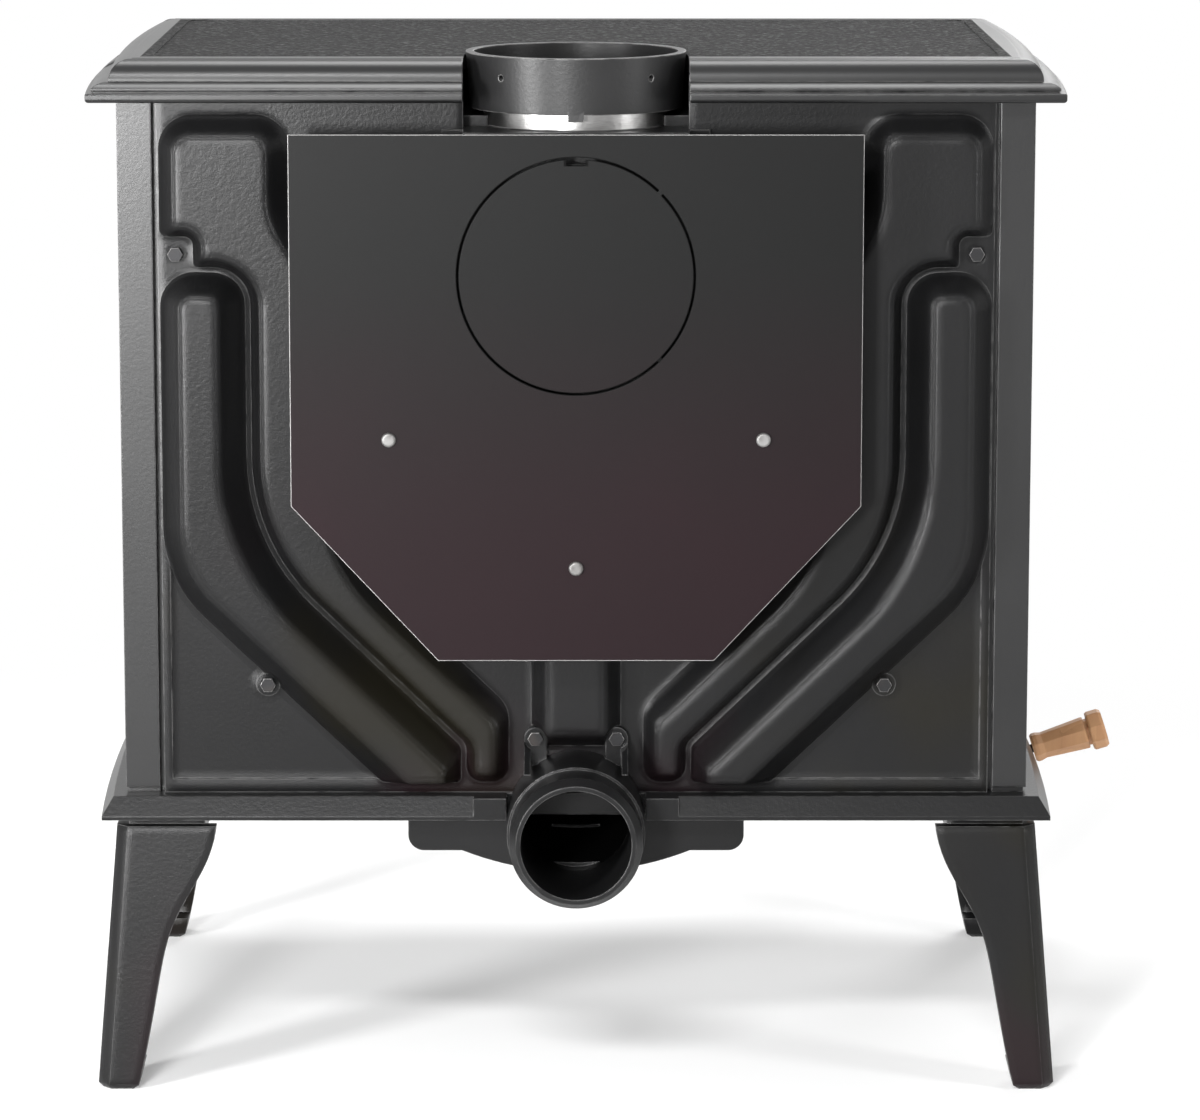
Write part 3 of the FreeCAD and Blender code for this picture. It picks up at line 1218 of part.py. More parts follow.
def floor_bricks():
    """The firebricks of the floor, behind the air slots."""
    half = LINER_IN - BRICK_THICK
    front = FRONT_IN + WALL + 2 * AIR_SLOT_SETBACK
    rows = spans(front, FIREBACK_IN - BRICK_THICK, FLOOR_BRICK_ROWS)
    return group([
        block(x0, x1, y0, y1, FLOOR_Z, BRICK_Z) for y0, y1 in rows for x0,
        x1 in spans(-half, half, FLOOR_BRICK_COLUMNS)
    ])


def tube_places():
    """The depth of each secondary air tube."""
    front, back = FRONT_IN + BAFFLE_FRONT_GAP, FIREBACK_IN
    return [front + share * (back - front) for share in TUBE_PLACE_SHARES]


def tube_z():
    """The height of the tubes, just under the baffle."""
    return RAIL_TOP - TUBE_RADIUS - RUNNING_GAP


def tube_rail():
    """One rail that takes the ends of the tubes and carries the baffle."""
    rail = block(
        LINER_IN - RAIL_WIDTH, LINER_IN, FRONT_IN + BAFFLE_FRONT_GAP, FIREBACK_IN, BRICK_TOP, RAIL_TOP
    )
    for y in tube_places():
        rail = rail.cut(
            bar(TUBE_RADIUS + FIT_GAP, TUBE_SEAT + FIT_GAP, V(LINER_IN - RAIL_WIDTH, y, tube_z()), SIDE)
        )
    return rail


def secondary_tubes():
    """Three perforated tubes that blow air under the baffle."""
    half = LINER_IN - RAIL_WIDTH + TUBE_SEAT
    clear = LINER_IN - 2 * RAIL_WIDTH
    tubes = []
    for y in tube_places():
        pipe = tube(TUBE_RADIUS, TUBE_RADIUS - TUBE_WALL, 2 * half, V(-half, y, tube_z()), SIDE)
        for i in range(TUBE_HOLES):
            x = -clear + 2 * clear * i / (TUBE_HOLES - 1)
            pipe = pipe.cut(bar(TUBE_HOLE_RADIUS, TUBE_RADIUS, V(x, y, tube_z()), BACK * -1))
        tubes.append(pipe)
    return group(tubes)


def baffle_boards():
    """Two insulating boards over the tubes."""
    half = LINER_IN - FIT_GAP
    return group([
        block(x0, x1, FRONT_IN + BAFFLE_FRONT_GAP, FIREBACK_IN, RAIL_TOP, RAIL_TOP + BAFFLE_THICK)
        for x0, x1 in spans(-half, half, 2)
    ])


def log_guard():
    """A low cast grille that keeps logs off the glass."""
    y = FRONT_IN + WALL + 2 * AIR_SLOT_SETBACK + GUARD_SETBACK
    rail = block(
        -GUARD_HALF_WIDTH, GUARD_HALF_WIDTH, y, y + GUARD_THICK, BRICK_Z + GUARD_HEIGHT - GUARD_THICK,
        BRICK_Z + GUARD_HEIGHT
    )
    sole = block(
        -GUARD_HALF_WIDTH, GUARD_HALF_WIDTH, y, y + 2 * GUARD_THICK, BRICK_Z, BRICK_Z + GUARD_THICK
    )
    bars = [
        block(x0, x0 + GUARD_BAR_WIDTH, y, y + GUARD_THICK, BRICK_Z, BRICK_Z + GUARD_HEIGHT)
        for x0 in [
            -GUARD_HALF_WIDTH + i * (2 * GUARD_HALF_WIDTH - GUARD_BAR_WIDTH) / (GUARD_BARS - 1)
            for i in range(GUARD_BARS)
        ]
    ]
    return fuse(rail, sole, *bars)


def window(grow, arch):
    """The start and moves of the door's arched window, grown outward all round."""
    half, low, top = WINDOW_HALF_WIDTH + grow, WINDOW_LOW - grow, WINDOW_TOP + grow
    return (-half, low), [(half, low), (half, top - arch), (0, top, -half, top - arch)]


def glass_limits(grow):
    """The limits in X and Z of the pane, grown outward all round."""
    half = WINDOW_HALF_WIDTH + GLASS_LAP + grow
    return -half, half, WINDOW_LOW - GLASS_LAP - grow, WINDOW_TOP + GLASS_LAP + grow


def clip_places():
    """The middle of each glass clip on the pane's edge, and the way it points inward."""
    x0, x1, z0, z1 = glass_limits(GLASS_PLAY)
    places = []
    for share in CLIP_SHARES:
        z, x = z0 + share * (z1 - z0), x0 + share * (x1 - x0)
        places += [(x0, z, 1, 0), (x1, z, -1, 0), (x, z0, 0, 1), (x, z1, 0, -1)]
    return places


def clip_block(place, y0, y1, grow=0.0):
    """The room that one glass clip takes."""
    x, z, across_way, up_way = place
    lap, out, half = CLIP_LAP + grow, CLIP_WIDTH - CLIP_LAP + grow, CLIP_LENGTH / 2 + grow
    xs = sorted((x + across_way * lap, x - across_way * out)) if across_way else (x - half, x + half)
    zs = sorted((z + up_way * lap, z - up_way * out)) if up_way else (z - half, z + half)
    return block(*xs, y0, y1, *zs)


def clip_screw_at(place, y):
    """Where one clip's screw stands."""
    x, z, across_way, up_way = place
    out = (CLIP_WIDTH - CLIP_LAP) / 2
    return V(x - across_way * out, y, z - up_way * out)


def rope_ring(y0, y1, grow=0.0):
    """The closed ring that the door's rope seal takes."""
    out = ROPE_INSET - grow
    inner = ROPE_INSET + ROPE_WIDTH + grow
    rings = []
    for inset in (out, inner):
        half = DOOR_HALF_WIDTH - inset
        corners = rounded(-half, half, DOOR_LOW + inset, DOOR_LOW + DOOR_HEIGHT - inset, DOOR_ROUND)
        rings.append(prism(corners, across(y0), BACK * (y1 - y0)))
    return rings[0].cut(rings[1])


def door_frame():
    """The cast door round its arched window, with the upper half of each hinge."""
    half = DOOR_HALF_WIDTH
    corners = rounded(-half, half, DOOR_LOW, DOOR_LOW + DOOR_HEIGHT, DOOR_ROUND)
    back = prism(corners, across(DOOR_FRONT + DOOR_EDGE), BACK * (DOOR_THICK - DOOR_EDGE))
    rim = outline(corners, across(DOOR_FRONT + DOOR_EDGE))
    face = outline(corners, across(DOOR_FRONT), [DOOR_EDGE] * len(corners))
    door = fuse(back, Part.makeLoft([rim, face], True, True))
    start, moves = window(0.0, WINDOW_ARCH)
    door = door.cut(profile_face(start, moves, across(DOOR_FRONT - OVERRUN)).extrude(BACK * 2 * DOOR_THICK))
    wide_start, wide_moves = window(WINDOW_BEVEL, WINDOW_ARCH)
    mouth = profile_face(wide_start, wide_moves, across(DOOR_FRONT)).OuterWire
    throat = profile_face(start, moves, across(DOOR_FRONT + WINDOW_BEVEL)).OuterWire
    door = door.cut(Part.makeLoft([mouth, throat], True, True))
    x0, x1, z0, z1 = glass_limits(GLASS_PLAY)
    rebate = DOOR_BACK - CLIP_THICK - GLASS_THICK - GLASS_SEAL
    door = door.cut(block(x0, x1, rebate, DOOR_BACK + OVERRUN, z0, z1))
    for place in clip_places():
        door = door.cut(clip_block(place, DOOR_BACK - CLIP_THICK, DOOR_BACK + OVERRUN, FIT_GAP))
        door = door.cut(bar(SCREW_RADIUS, SCREW_LENGTH / 2, clip_screw_at(place, DOOR_BACK), BACK * -1))
    door = door.cut(rope_ring(DOOR_BACK - ROPE_GROOVE, DOOR_BACK + OVERRUN, FIT_GAP))
    door = door.cut(
        bar(SPINDLE_RADIUS + FIT_GAP, 2 * DOOR_THICK, V(SPINDLE_X, DOOR_FRONT - OVERRUN, SPINDLE_Z), BACK)
    )
    for z in hinge_heights():
        low = z + RUNNING_GAP
        arm = block(
            HINGE_X, -DOOR_HALF_WIDTH + DOOR_EDGE, HINGE_Y - KNUCKLE_RADIUS / 2,
            HINGE_Y + KNUCKLE_RADIUS / 2, low, low + KNUCKLE_HEIGHT
        )
        door = door.fuse(knuckle(low, arm))
    return door.removeSplitter()


def door_glass():
    """The ceramic pane."""
    x0, x1, z0, z1 = glass_limits(0.0)
    y = DOOR_BACK - CLIP_THICK
    return block(x0, x1, y - GLASS_THICK, y, z0, z1)


def glass_gasket():
    """The flat seal between pane and door."""
    x0, x1, z0, z1 = glass_limits(0.0)
    y = DOOR_BACK - CLIP_THICK - GLASS_THICK
    lap = GLASS_LAP - GLASS_PLAY
    ring = block(x0, x1, y - GLASS_SEAL, y, z0, z1)
    return ring.cut(block(x0 + lap, x1 - lap, y - GLASS_SEAL, y, z0 + lap, z1 - lap))


def glass_clips():
    """Flat clips that press the pane in."""
    clips = []
    for place in clip_places():
        clip = clip_block(place, DOOR_BACK - CLIP_THICK, DOOR_BACK)
        clips.append(
            clip.cut(bar(SCREW_RADIUS + FIT_GAP, CLIP_THICK, clip_screw_at(place, DOOR_BACK), BACK * -1))
        )
    return group(clips)


def clip_screws():
    """Screws of the glass clips."""
    return group(
        [screw(clip_screw_at(place, DOOR_BACK), BACK, SCREW_LENGTH / 2)
        for place in clip_places()]
    )


def door_gasket():
    """The rope seal in the door's groove, touching the front frame."""
    return rope_ring(DOOR_BACK - ROPE_GROOVE, FRONT)


def latch_spindle():
    """The spindle through the door."""
    front = DOOR_FRONT - SPINDLE_STAND
    back = FRONT_IN + CAM_GAP + CAM_THICK
    return bar(SPINDLE_RADIUS, back - front, V(SPINDLE_X, front, SPINDLE_Z), BACK)


def latch_cam():
    """The latch tongue behind the front frame, hanging clear of the opening's edge."""
    y = FRONT_IN + CAM_GAP
    hub = bar(CAM_HUB, CAM_THICK, V(SPINDLE_X, y, SPINDLE_Z), BACK)
    half = CAM_WIDTH / 2
    tongue = prism(
        [
            (SPINDLE_X - half, SPINDLE_Z, 0), (SPINDLE_X + half, SPINDLE_Z, 0),
            (SPINDLE_X + half, SPINDLE_Z - CAM_REACH, half / 2),
            (SPINDLE_X - half, SPINDLE_Z - CAM_REACH, half / 2),
        ],
        across(y), BACK * CAM_THICK,
    )
    return fuse(hub, tongue).cut(bar(SPINDLE_RADIUS + FIT_GAP, CAM_THICK, V(SPINDLE_X, y, SPINDLE_Z), BACK))


def latch_keeper():
    """The wear plate that the tongue slides on."""
    x = OPENING_HALF_WIDTH + KEEPER_SET_IN
    half = KEEPER_HEIGHT / 2
    y = FRONT_IN
    return block(x, x + KEEPER_WIDTH, y, y + CAM_GAP - RUNNING_GAP, SPINDLE_Z - half, SPINDLE_Z + half)


def handle_y():
    """The depth of the door handle's middle."""
    return DOOR_FRONT - SPINDLE_STAND + HUB_LENGTH / 2


def door_handle():
    """The handle's hub and arm, with the tang that the grip sits on."""
    y = handle_y()
    hub = bar(HUB_RADIUS, HUB_LENGTH, V(SPINDLE_X, y - HUB_LENGTH / 2, SPINDLE_Z), BACK)
    arm = block(
        SPINDLE_X - HANDLE_WIDTH / 2, SPINDLE_X + HANDLE_WIDTH / 2, y - HANDLE_THICK / 2,
        y + HANDLE_THICK / 2,
        SPINDLE_Z - HANDLE_DROP, SPINDLE_Z,
    )
    tang = bar(TANG_RADIUS, HANDLE_TANG, V(SPINDLE_X, y, SPINDLE_Z - HANDLE_DROP), UP * -1)
    handle = fuse(hub, arm, tang)
    return handle.cut(
        bar(SPINDLE_RADIUS + FIT_GAP, HUB_LENGTH, V(SPINDLE_X, y - HUB_LENGTH / 2, SPINDLE_Z), BACK)
    )


def door_grip():
    """The wooden grip on the door handle."""
    wood = grip(DOOR_GRIP_LENGTH, TANG_RADIUS + FIT_GAP, HANDLE_TANG + FIT_GAP)
    foot = V(SPINDLE_X, handle_y(), SPINDLE_Z - HANDLE_DROP)
    wood.Placement = FreeCAD.Placement(foot, FreeCAD.Rotation(UP, UP * -1))
    return wood


def ash_lip_top():
    """The level of the ash lip's floor."""
    return DOOR_LOW - ASH_LIP_DROP


def ash_lip_screw():
    """How far the ash lip's screws stand from the middle."""
    return ASH_LIP_SCREW_SHARE * ASH_LIP_HALF_WIDTH


def ash_lip_screw_z():
    """The height of the ash lip's screws."""
    return ash_lip_top() - ASH_LIP_THICK - ASH_LIP_FLANGE / 2


def ash_lip():
    """The shelf under the door that catches embers."""
    half, top = ASH_LIP_HALF_WIDTH, ash_lip_top()
    low = top - ASH_LIP_THICK

    def plan(inset):
        front = FRONT - ASH_LIP_REACH + inset
        return [
            (-half + inset, FRONT, 0), (-half + inset, front, ASH_LIP_ROUND - inset),
            (half - inset, front, ASH_LIP_ROUND - inset), (half - inset, FRONT, 0),
        ]

    shelf = prism(plan(0.0), level(low), UP * (ASH_LIP_THICK + ASH_LIP_RIM))
    shelf = shelf.cut(prism(plan(ASH_LIP_RIM_WIDTH), level(top), UP * OVERRUN))
    flange = block(-half, half, FRONT - ASH_LIP_THICK, FRONT, low - ASH_LIP_FLANGE, low)
    shelf = fuse(shelf, flange)
    for x in (-1, 1):
        hole = V(x * ash_lip_screw(), FRONT, ash_lip_screw_z())
        shelf = shelf.cut(bar(SCREW_RADIUS + FIT_GAP, ASH_LIP_THICK, hole, BACK * -1))
    return shelf


def ash_lip_screws():
    """Screws of the ash lip."""
    y = FRONT - ASH_LIP_THICK
    shank = ASH_LIP_THICK + WALL
    return group([screw(V(x * ash_lip_screw(), y, ash_lip_screw_z()), BACK * -1, shank) for x in (-1, 1)])


def pieces():
    """Every piece by name, in the stove's own frame."""
    made = {
        "top_plate": top_plate(), "base_plate": base_plate(), "rear_plate": rear_plate(),
        "front_frame": front_frame(), "flue_collar": flue_collar(), "flue_gasket": flue_gasket(),
        "flue_box": flue_box(), "flue_box_bolts": flue_box_bolts(), "flue_blank": flue_blank(),
        "flue_blank_bolts": flue_blank_bolts(), "rear_shield": rear_shield(),
        "shield_spacers": shield_spacers(),
        "shield_screws": shield_screws(), "rear_bolts": rear_bolts(), "air_inlet": air_inlet(),
        "inlet_bolts": inlet_bolts(), "air_box": air_box(), "air_rod": air_rod(), "air_grip": air_grip(),
        "air_shutter": air_shutter(), "tie_rods": tie_rods(), "leg_bolts": leg_bolts(),
        "hearth_plate": hearth_plate(), "fireback": fireback(), "inner_top": inner_top(),
        "rear_bricks": rear_bricks(), "floor_bricks": floor_bricks(), "secondary_tubes": secondary_tubes(),
        "baffle_boards": baffle_boards(), "log_guard": log_guard(), "door_frame": door_frame(),
        "door_glass": door_glass(), "glass_gasket": glass_gasket(), "glass_clips": glass_clips(),
        "clip_screws": clip_screws(), "door_gasket": door_gasket(), "hinge_pins": hinge_pins(),
        "latch_spindle": latch_spindle(), "latch_cam": latch_cam(), "latch_keeper": latch_keeper(),
        "door_handle": door_handle(), "door_grip": door_grip(), "ash_lip": ash_lip(),
        "ash_lip_screws": ash_lip_screws(),
    }
    for name, shape in (
        ("side_panel", side_panel()), ("side_liner", liner()), ("side_bricks", side_bricks()),
        ("tube_rail", tube_rail()),
    ):
        made[name + "_right"], made[name + "_left"] = shape, mirrored(shape)
    corner = leg()
    for end, shape in (("rear", corner), ("front", corner.mirror(ORIGIN, BACK))):
        made[f"leg_{end}_right"], made[f"leg_{end}_left"] = shape, mirrored(shape)
    return made


def frame_shift(made):
    """The move that puts the origin at the middle of the floor under the whole stove."""
    box = Part.makeCompound(list(made.values())).BoundBox
    return V(-(box.XMin + box.XMax) / 2, -(box.YMin + box.YMax) / 2, -box.ZMin)


def main():
    """Builds every piece and writes one file for each."""
    os.makedirs("parts", exist_ok=True)
    made = pieces()
    shift = frame_shift(made)
    for name, shape in made.items():
        shape.translated(shift).exportStep(f"parts/{name}.step")


if __name__ == "__main__":
    main()
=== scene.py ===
"""Dresses a cast iron wood stove in paint, steel, wood, glass, brick and rope seals, in a plain studio."""

from __future__ import annotations

import logging
import math
from dataclasses import dataclass
from enum import Enum
from typing import Any, Callable, Sequence, Union

import bpy
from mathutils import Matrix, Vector

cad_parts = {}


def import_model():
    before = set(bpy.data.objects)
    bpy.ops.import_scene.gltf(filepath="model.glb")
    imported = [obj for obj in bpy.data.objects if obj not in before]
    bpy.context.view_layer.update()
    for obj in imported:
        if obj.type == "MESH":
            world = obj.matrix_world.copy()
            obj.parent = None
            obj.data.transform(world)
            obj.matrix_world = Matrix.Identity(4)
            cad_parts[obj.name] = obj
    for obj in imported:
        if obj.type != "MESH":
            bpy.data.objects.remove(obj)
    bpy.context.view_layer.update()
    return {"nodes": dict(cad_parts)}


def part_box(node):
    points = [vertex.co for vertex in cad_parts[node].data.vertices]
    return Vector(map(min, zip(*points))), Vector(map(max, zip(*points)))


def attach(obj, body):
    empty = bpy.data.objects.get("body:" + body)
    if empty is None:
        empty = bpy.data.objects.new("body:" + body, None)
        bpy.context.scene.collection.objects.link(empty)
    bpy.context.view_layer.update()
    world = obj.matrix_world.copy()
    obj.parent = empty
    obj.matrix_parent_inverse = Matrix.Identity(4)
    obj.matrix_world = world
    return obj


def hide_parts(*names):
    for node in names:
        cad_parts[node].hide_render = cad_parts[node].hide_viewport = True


LOG = logging.getLogger("stove")
Colour = tuple[float, float, float]
Span = tuple[float, float]
Number = Union[float, "Shade"]
Owner = Union[bpy.types.Material, bpy.types.World]


class Axis(Enum):
    """The way a grain runs, as the turn that lays its local Z along it."""

    UPRIGHT = (0.0, 0.0, 0.0)
    TILTED = (0.0, math.radians(73.0), 0.0)


class Shade:
    """A node's output, with operators that add Math nodes."""

    def __init__(self, palette: "Palette", socket: bpy.types.NodeSocket) -> None:
        """Keeps the palette and the output socket."""
        self.palette = palette
        self.socket = socket

    def math(self, operation: str, *values: Number) -> "Shade":
        """Adds one Math node.

        Args:
            operation: the node's operation.
            values: its inputs, in order.

        Returns:
            The node's output.
        """
        inputs = dict(enumerate(values))
        return self.palette.node("ShaderNodeMath", {"operation": operation}, inputs)

    def __add__(self, other: Number) -> "Shade":
        """Adds."""
        return self.math("ADD", self, other)

    def __radd__(self, other: Number) -> "Shade":
        """Adds, from the right."""
        return self.math("ADD", other, self)

    def __sub__(self, other: Number) -> "Shade":
        """Subtracts."""
        return self.math("SUBTRACT", self, other)

    def __rsub__(self, other: Number) -> "Shade":
        """Subtracts from a number."""
        return self.math("SUBTRACT", other, self)

    def __mul__(self, other: Number) -> "Shade":
        """Multiplies."""
        return self.math("MULTIPLY", self, other)

    def __rmul__(self, other: Number) -> "Shade":
        """Multiplies, from the right."""
        return self.math("MULTIPLY", other, self)

    def __abs__(self) -> "Shade":
        """The absolute value."""
        return self.math("ABSOLUTE", self)

    def root(self) -> "Shade":
        """The square root."""
        return self.math("SQRT", self)

    def larger(self, other: Number) -> "Shade":
        """The larger of two values."""
        return self.math("MAXIMUM", self, other)

    def mixed(self, other: "Shade", share: float) -> "Shade":
        """A share of this value and the rest of another."""
        return share * self + (1.0 - share) * other

    def lifted(self, least: float) -> "Shade":
        """Goes from the least value to 1 where this goes from 0 to 1."""
        return least + (1.0 - least) * self

    def smooth(self, low: float, high: float) -> "Shade":
        """Rises from 0 to 1 between two values.

        Args:
            low: where it is 0.
            high: where it is 1.

        Returns:
            The smooth step.
        """
        settings = {"interpolation_type": "SMOOTHSTEP"}
        return self.palette.node("ShaderNodeMapRange", settings, {"Value": self, 1: low, 2: high}, "Result")


class Palette:
    """Builds the nodes of one material or world."""

    edge_samples: int = 6
    edge_span: Span = (0.01, 0.22)
    chamfer_span: Span = (0.04, 0.09)

    def __init__(self, owner: Owner, output: str = "ShaderNodeOutputMaterial") -> None:
        """Starts with only an output."""
        owner.use_nodes = True
        self.owner = owner
        self.tree = owner.node_tree
        self.tree.nodes.clear()
        self.output = self.tree.nodes.new(output)

    def node(
        self,
        kind: str,
        settings: dict[str, Any],
        sockets: dict[Union[str, int], Any],
        out: Union[str, int] = 0,
    ) -> Shade:
        """Adds a node.

        Args:
            kind: the node's type.
            settings: its properties, with "stops" for a ramp's positions and colours.
            sockets: values or links of its inputs.
            out: which output to return.

        Returns:
            The chosen output.
        """
        made = self.tree.nodes.new(kind)
        for key, value in settings.items():
            if key == "stops":
                elements = made.color_ramp.elements
                while len(elements) < len(value):
                    elements.new(1.0)
                for element, (place, colour) in zip(elements, value):
                    element.position = place
                    element.color = (*colour, 1.0)
            else:
                setattr(made, key, value)
        for key, value in sockets.items():
            if isinstance(value, Shade):
                self.tree.links.new(value.socket, made.inputs[key])
            else:
                made.inputs[key].default_value = value
        return Shade(self, made.outputs[out])

    def vector(self, operation: str, *values: Any, out: str = "Vector") -> Shade:
        """Adds one Vector Math node.

        Args:
            operation: the node's operation.
            values: its inputs, in order.
            out: "Vector", or "Value" where the result is a number.

        Returns:
            The chosen output.
        """
        return self.node("ShaderNodeVectorMath", {"operation": operation}, dict(enumerate(values)), out)

    def place(self) -> Shade:
        """Object coordinates, in metres."""
        return self.node("ShaderNodeTexCoord", {}, {}, "Object")

    def turned(self, turn: Sequence[float], stretch: Sequence[float], centre: Sequence[float]) -> Shade:
        """Object coordinates moved to a centre, turned and stretched.

        Args:
            turn: rotation of the texture, in radians.
            stretch: scale along each axis.
            centre: the place that becomes the origin.

        Returns:
            The mapped coordinates.
        """
        moved = self.vector("SUBTRACT", self.place(), tuple(centre))
        sockets = {"Vector": moved, "Rotation": tuple(turn), "Scale": tuple(stretch)}
        return self.node("ShaderNodeMapping", {"vector_type": "POINT"}, sockets)

    def noise(self, at: Shade, scale: float, detail: float = 2.0, rough: float = 0.5) -> Shade:
        """Noise from 0 to 1.

        Args:
            at: coordinates.
            scale: repeats in a metre.
            detail: octaves.
            rough: weight of the octaves.

        Returns:
            The noise value.
        """
        values = {"Vector": at, "Scale": scale, "Detail": detail, "Roughness": rough}
        return self.node("ShaderNodeTexNoise", {}, values, "Fac")

    def cells(self, at: Shade, scale: float) -> Shade:
        """Distance to the nearest cell centre."""
        return self.node("ShaderNodeTexVoronoi", {}, {"Vector": at, "Scale": scale}, "Distance")

    def ramp(self, value: Shade, stops: Sequence[tuple[float, Colour]]) -> Shade:
        """Colour by value."""
        return self.node("ShaderNodeValToRGB", {"stops": stops}, {0: value}, "Color")

    def blend(self, share: Number, first: Any, second: Any) -> Shade:
        """Mixes two colours.

        Args:
            share: how much of the second.
            first: a colour or a link.
            second: a colour or a link.

        Returns:
            The mixed colour.
        """
        wide = [value if isinstance(value, Shade) else (*value, 1.0) for value in (first, second)]
        sockets = {"Factor": share, 6: wide[0], 7: wide[1]}
        return self.node("ShaderNodeMix", {"data_type": "RGBA"}, sockets, 2)

    def parts(self, vector: Shade) -> tuple[Shade, Shade, Shade]:
        """A vector's three numbers."""
        first = self.node("ShaderNodeSeparateXYZ", {}, {0: vector})
        outputs = first.socket.node.outputs
        return first, Shade(self, outputs[1]), Shade(self, outputs[2])

    def rounding(self, radius: float) -> tuple[Shade, Shade]:
        """The normal rounded over edges by a radius, and the plain normal."""
        rounded = self.node("ShaderNodeBevel", {"samples": self.edge_samples}, {"Radius": radius})
        return rounded, self.node("ShaderNodeNewGeometry", {}, {}, "Normal")

    def edge(self, radius: float) -> tuple[Shade, Shade]:
        """Finds sharp edges.

        Args:
            radius: how far from an edge it is felt.

        Returns:
            The rounded normal, and a share that rises to 1 on edges.
        """
        rounded, flat = self.rounding(radius)
        agree = self.vector("DOT_PRODUCT", rounded, flat, out="Value")
        return rounded, (1.0 - agree).smooth(*self.edge_span)

    def chamfer(self, width: float, slope: float) -> Shade:
        """Leans the normal by one slope in a band along edges, as a chamfer does.

        Args:
            width: how wide the band is.
            slope: the rise of the chamfer over its run.

        Returns:
            The leaning normal.
        """
        rounded, flat = self.rounding(width)
        lean = self.vector("SUBTRACT", rounded, flat)
        much = self.vector("LENGTH", lean, out="Value")
        way = self.vector("NORMALIZE", lean)
        bent = self.vector("MULTIPLY_ADD", way, much.smooth(*self.chamfer_span) * slope, flat)
        return self.vector("NORMALIZE", bent)

    def relief(self, height: Shade, depth: float, normal: Any = None) -> Shade:
        """Bump from a height.

        Args:
            height: the height, about 0 to 1.
            depth: what 1 means, in metres.
            normal: the normal that is bent, or none.

        Returns:
            The bent normal.
        """
        sockets: dict[Union[str, int], Any] = {"Strength": 1.0, "Distance": depth, "Height": height}
        if normal is not None:
            sockets["Normal"] = normal
        return self.node("ShaderNodeBump", {}, sockets)

    def surface(self, **sockets: Any) -> bpy.types.Material:
        """Ends in a principled shader.

        Args:
            sockets: its inputs, with _ for a space in a name.

        Returns:
            The finished material.
        """
        named = {key.replace("_", " "): value for key, value in sockets.items()}
        for key, value in named.items():
            if isinstance(value, tuple) and len(value) == 3:
                named[key] = (*value, 1.0)
        return self.end(self.node("ShaderNodeBsdfPrincipled", {}, named))

    def end(self, shader: Shade) -> Owner:
        """Links the shader to the output."""
        self.tree.links.new(shader.socket, self.output.inputs["Surface"])
        return self.owner


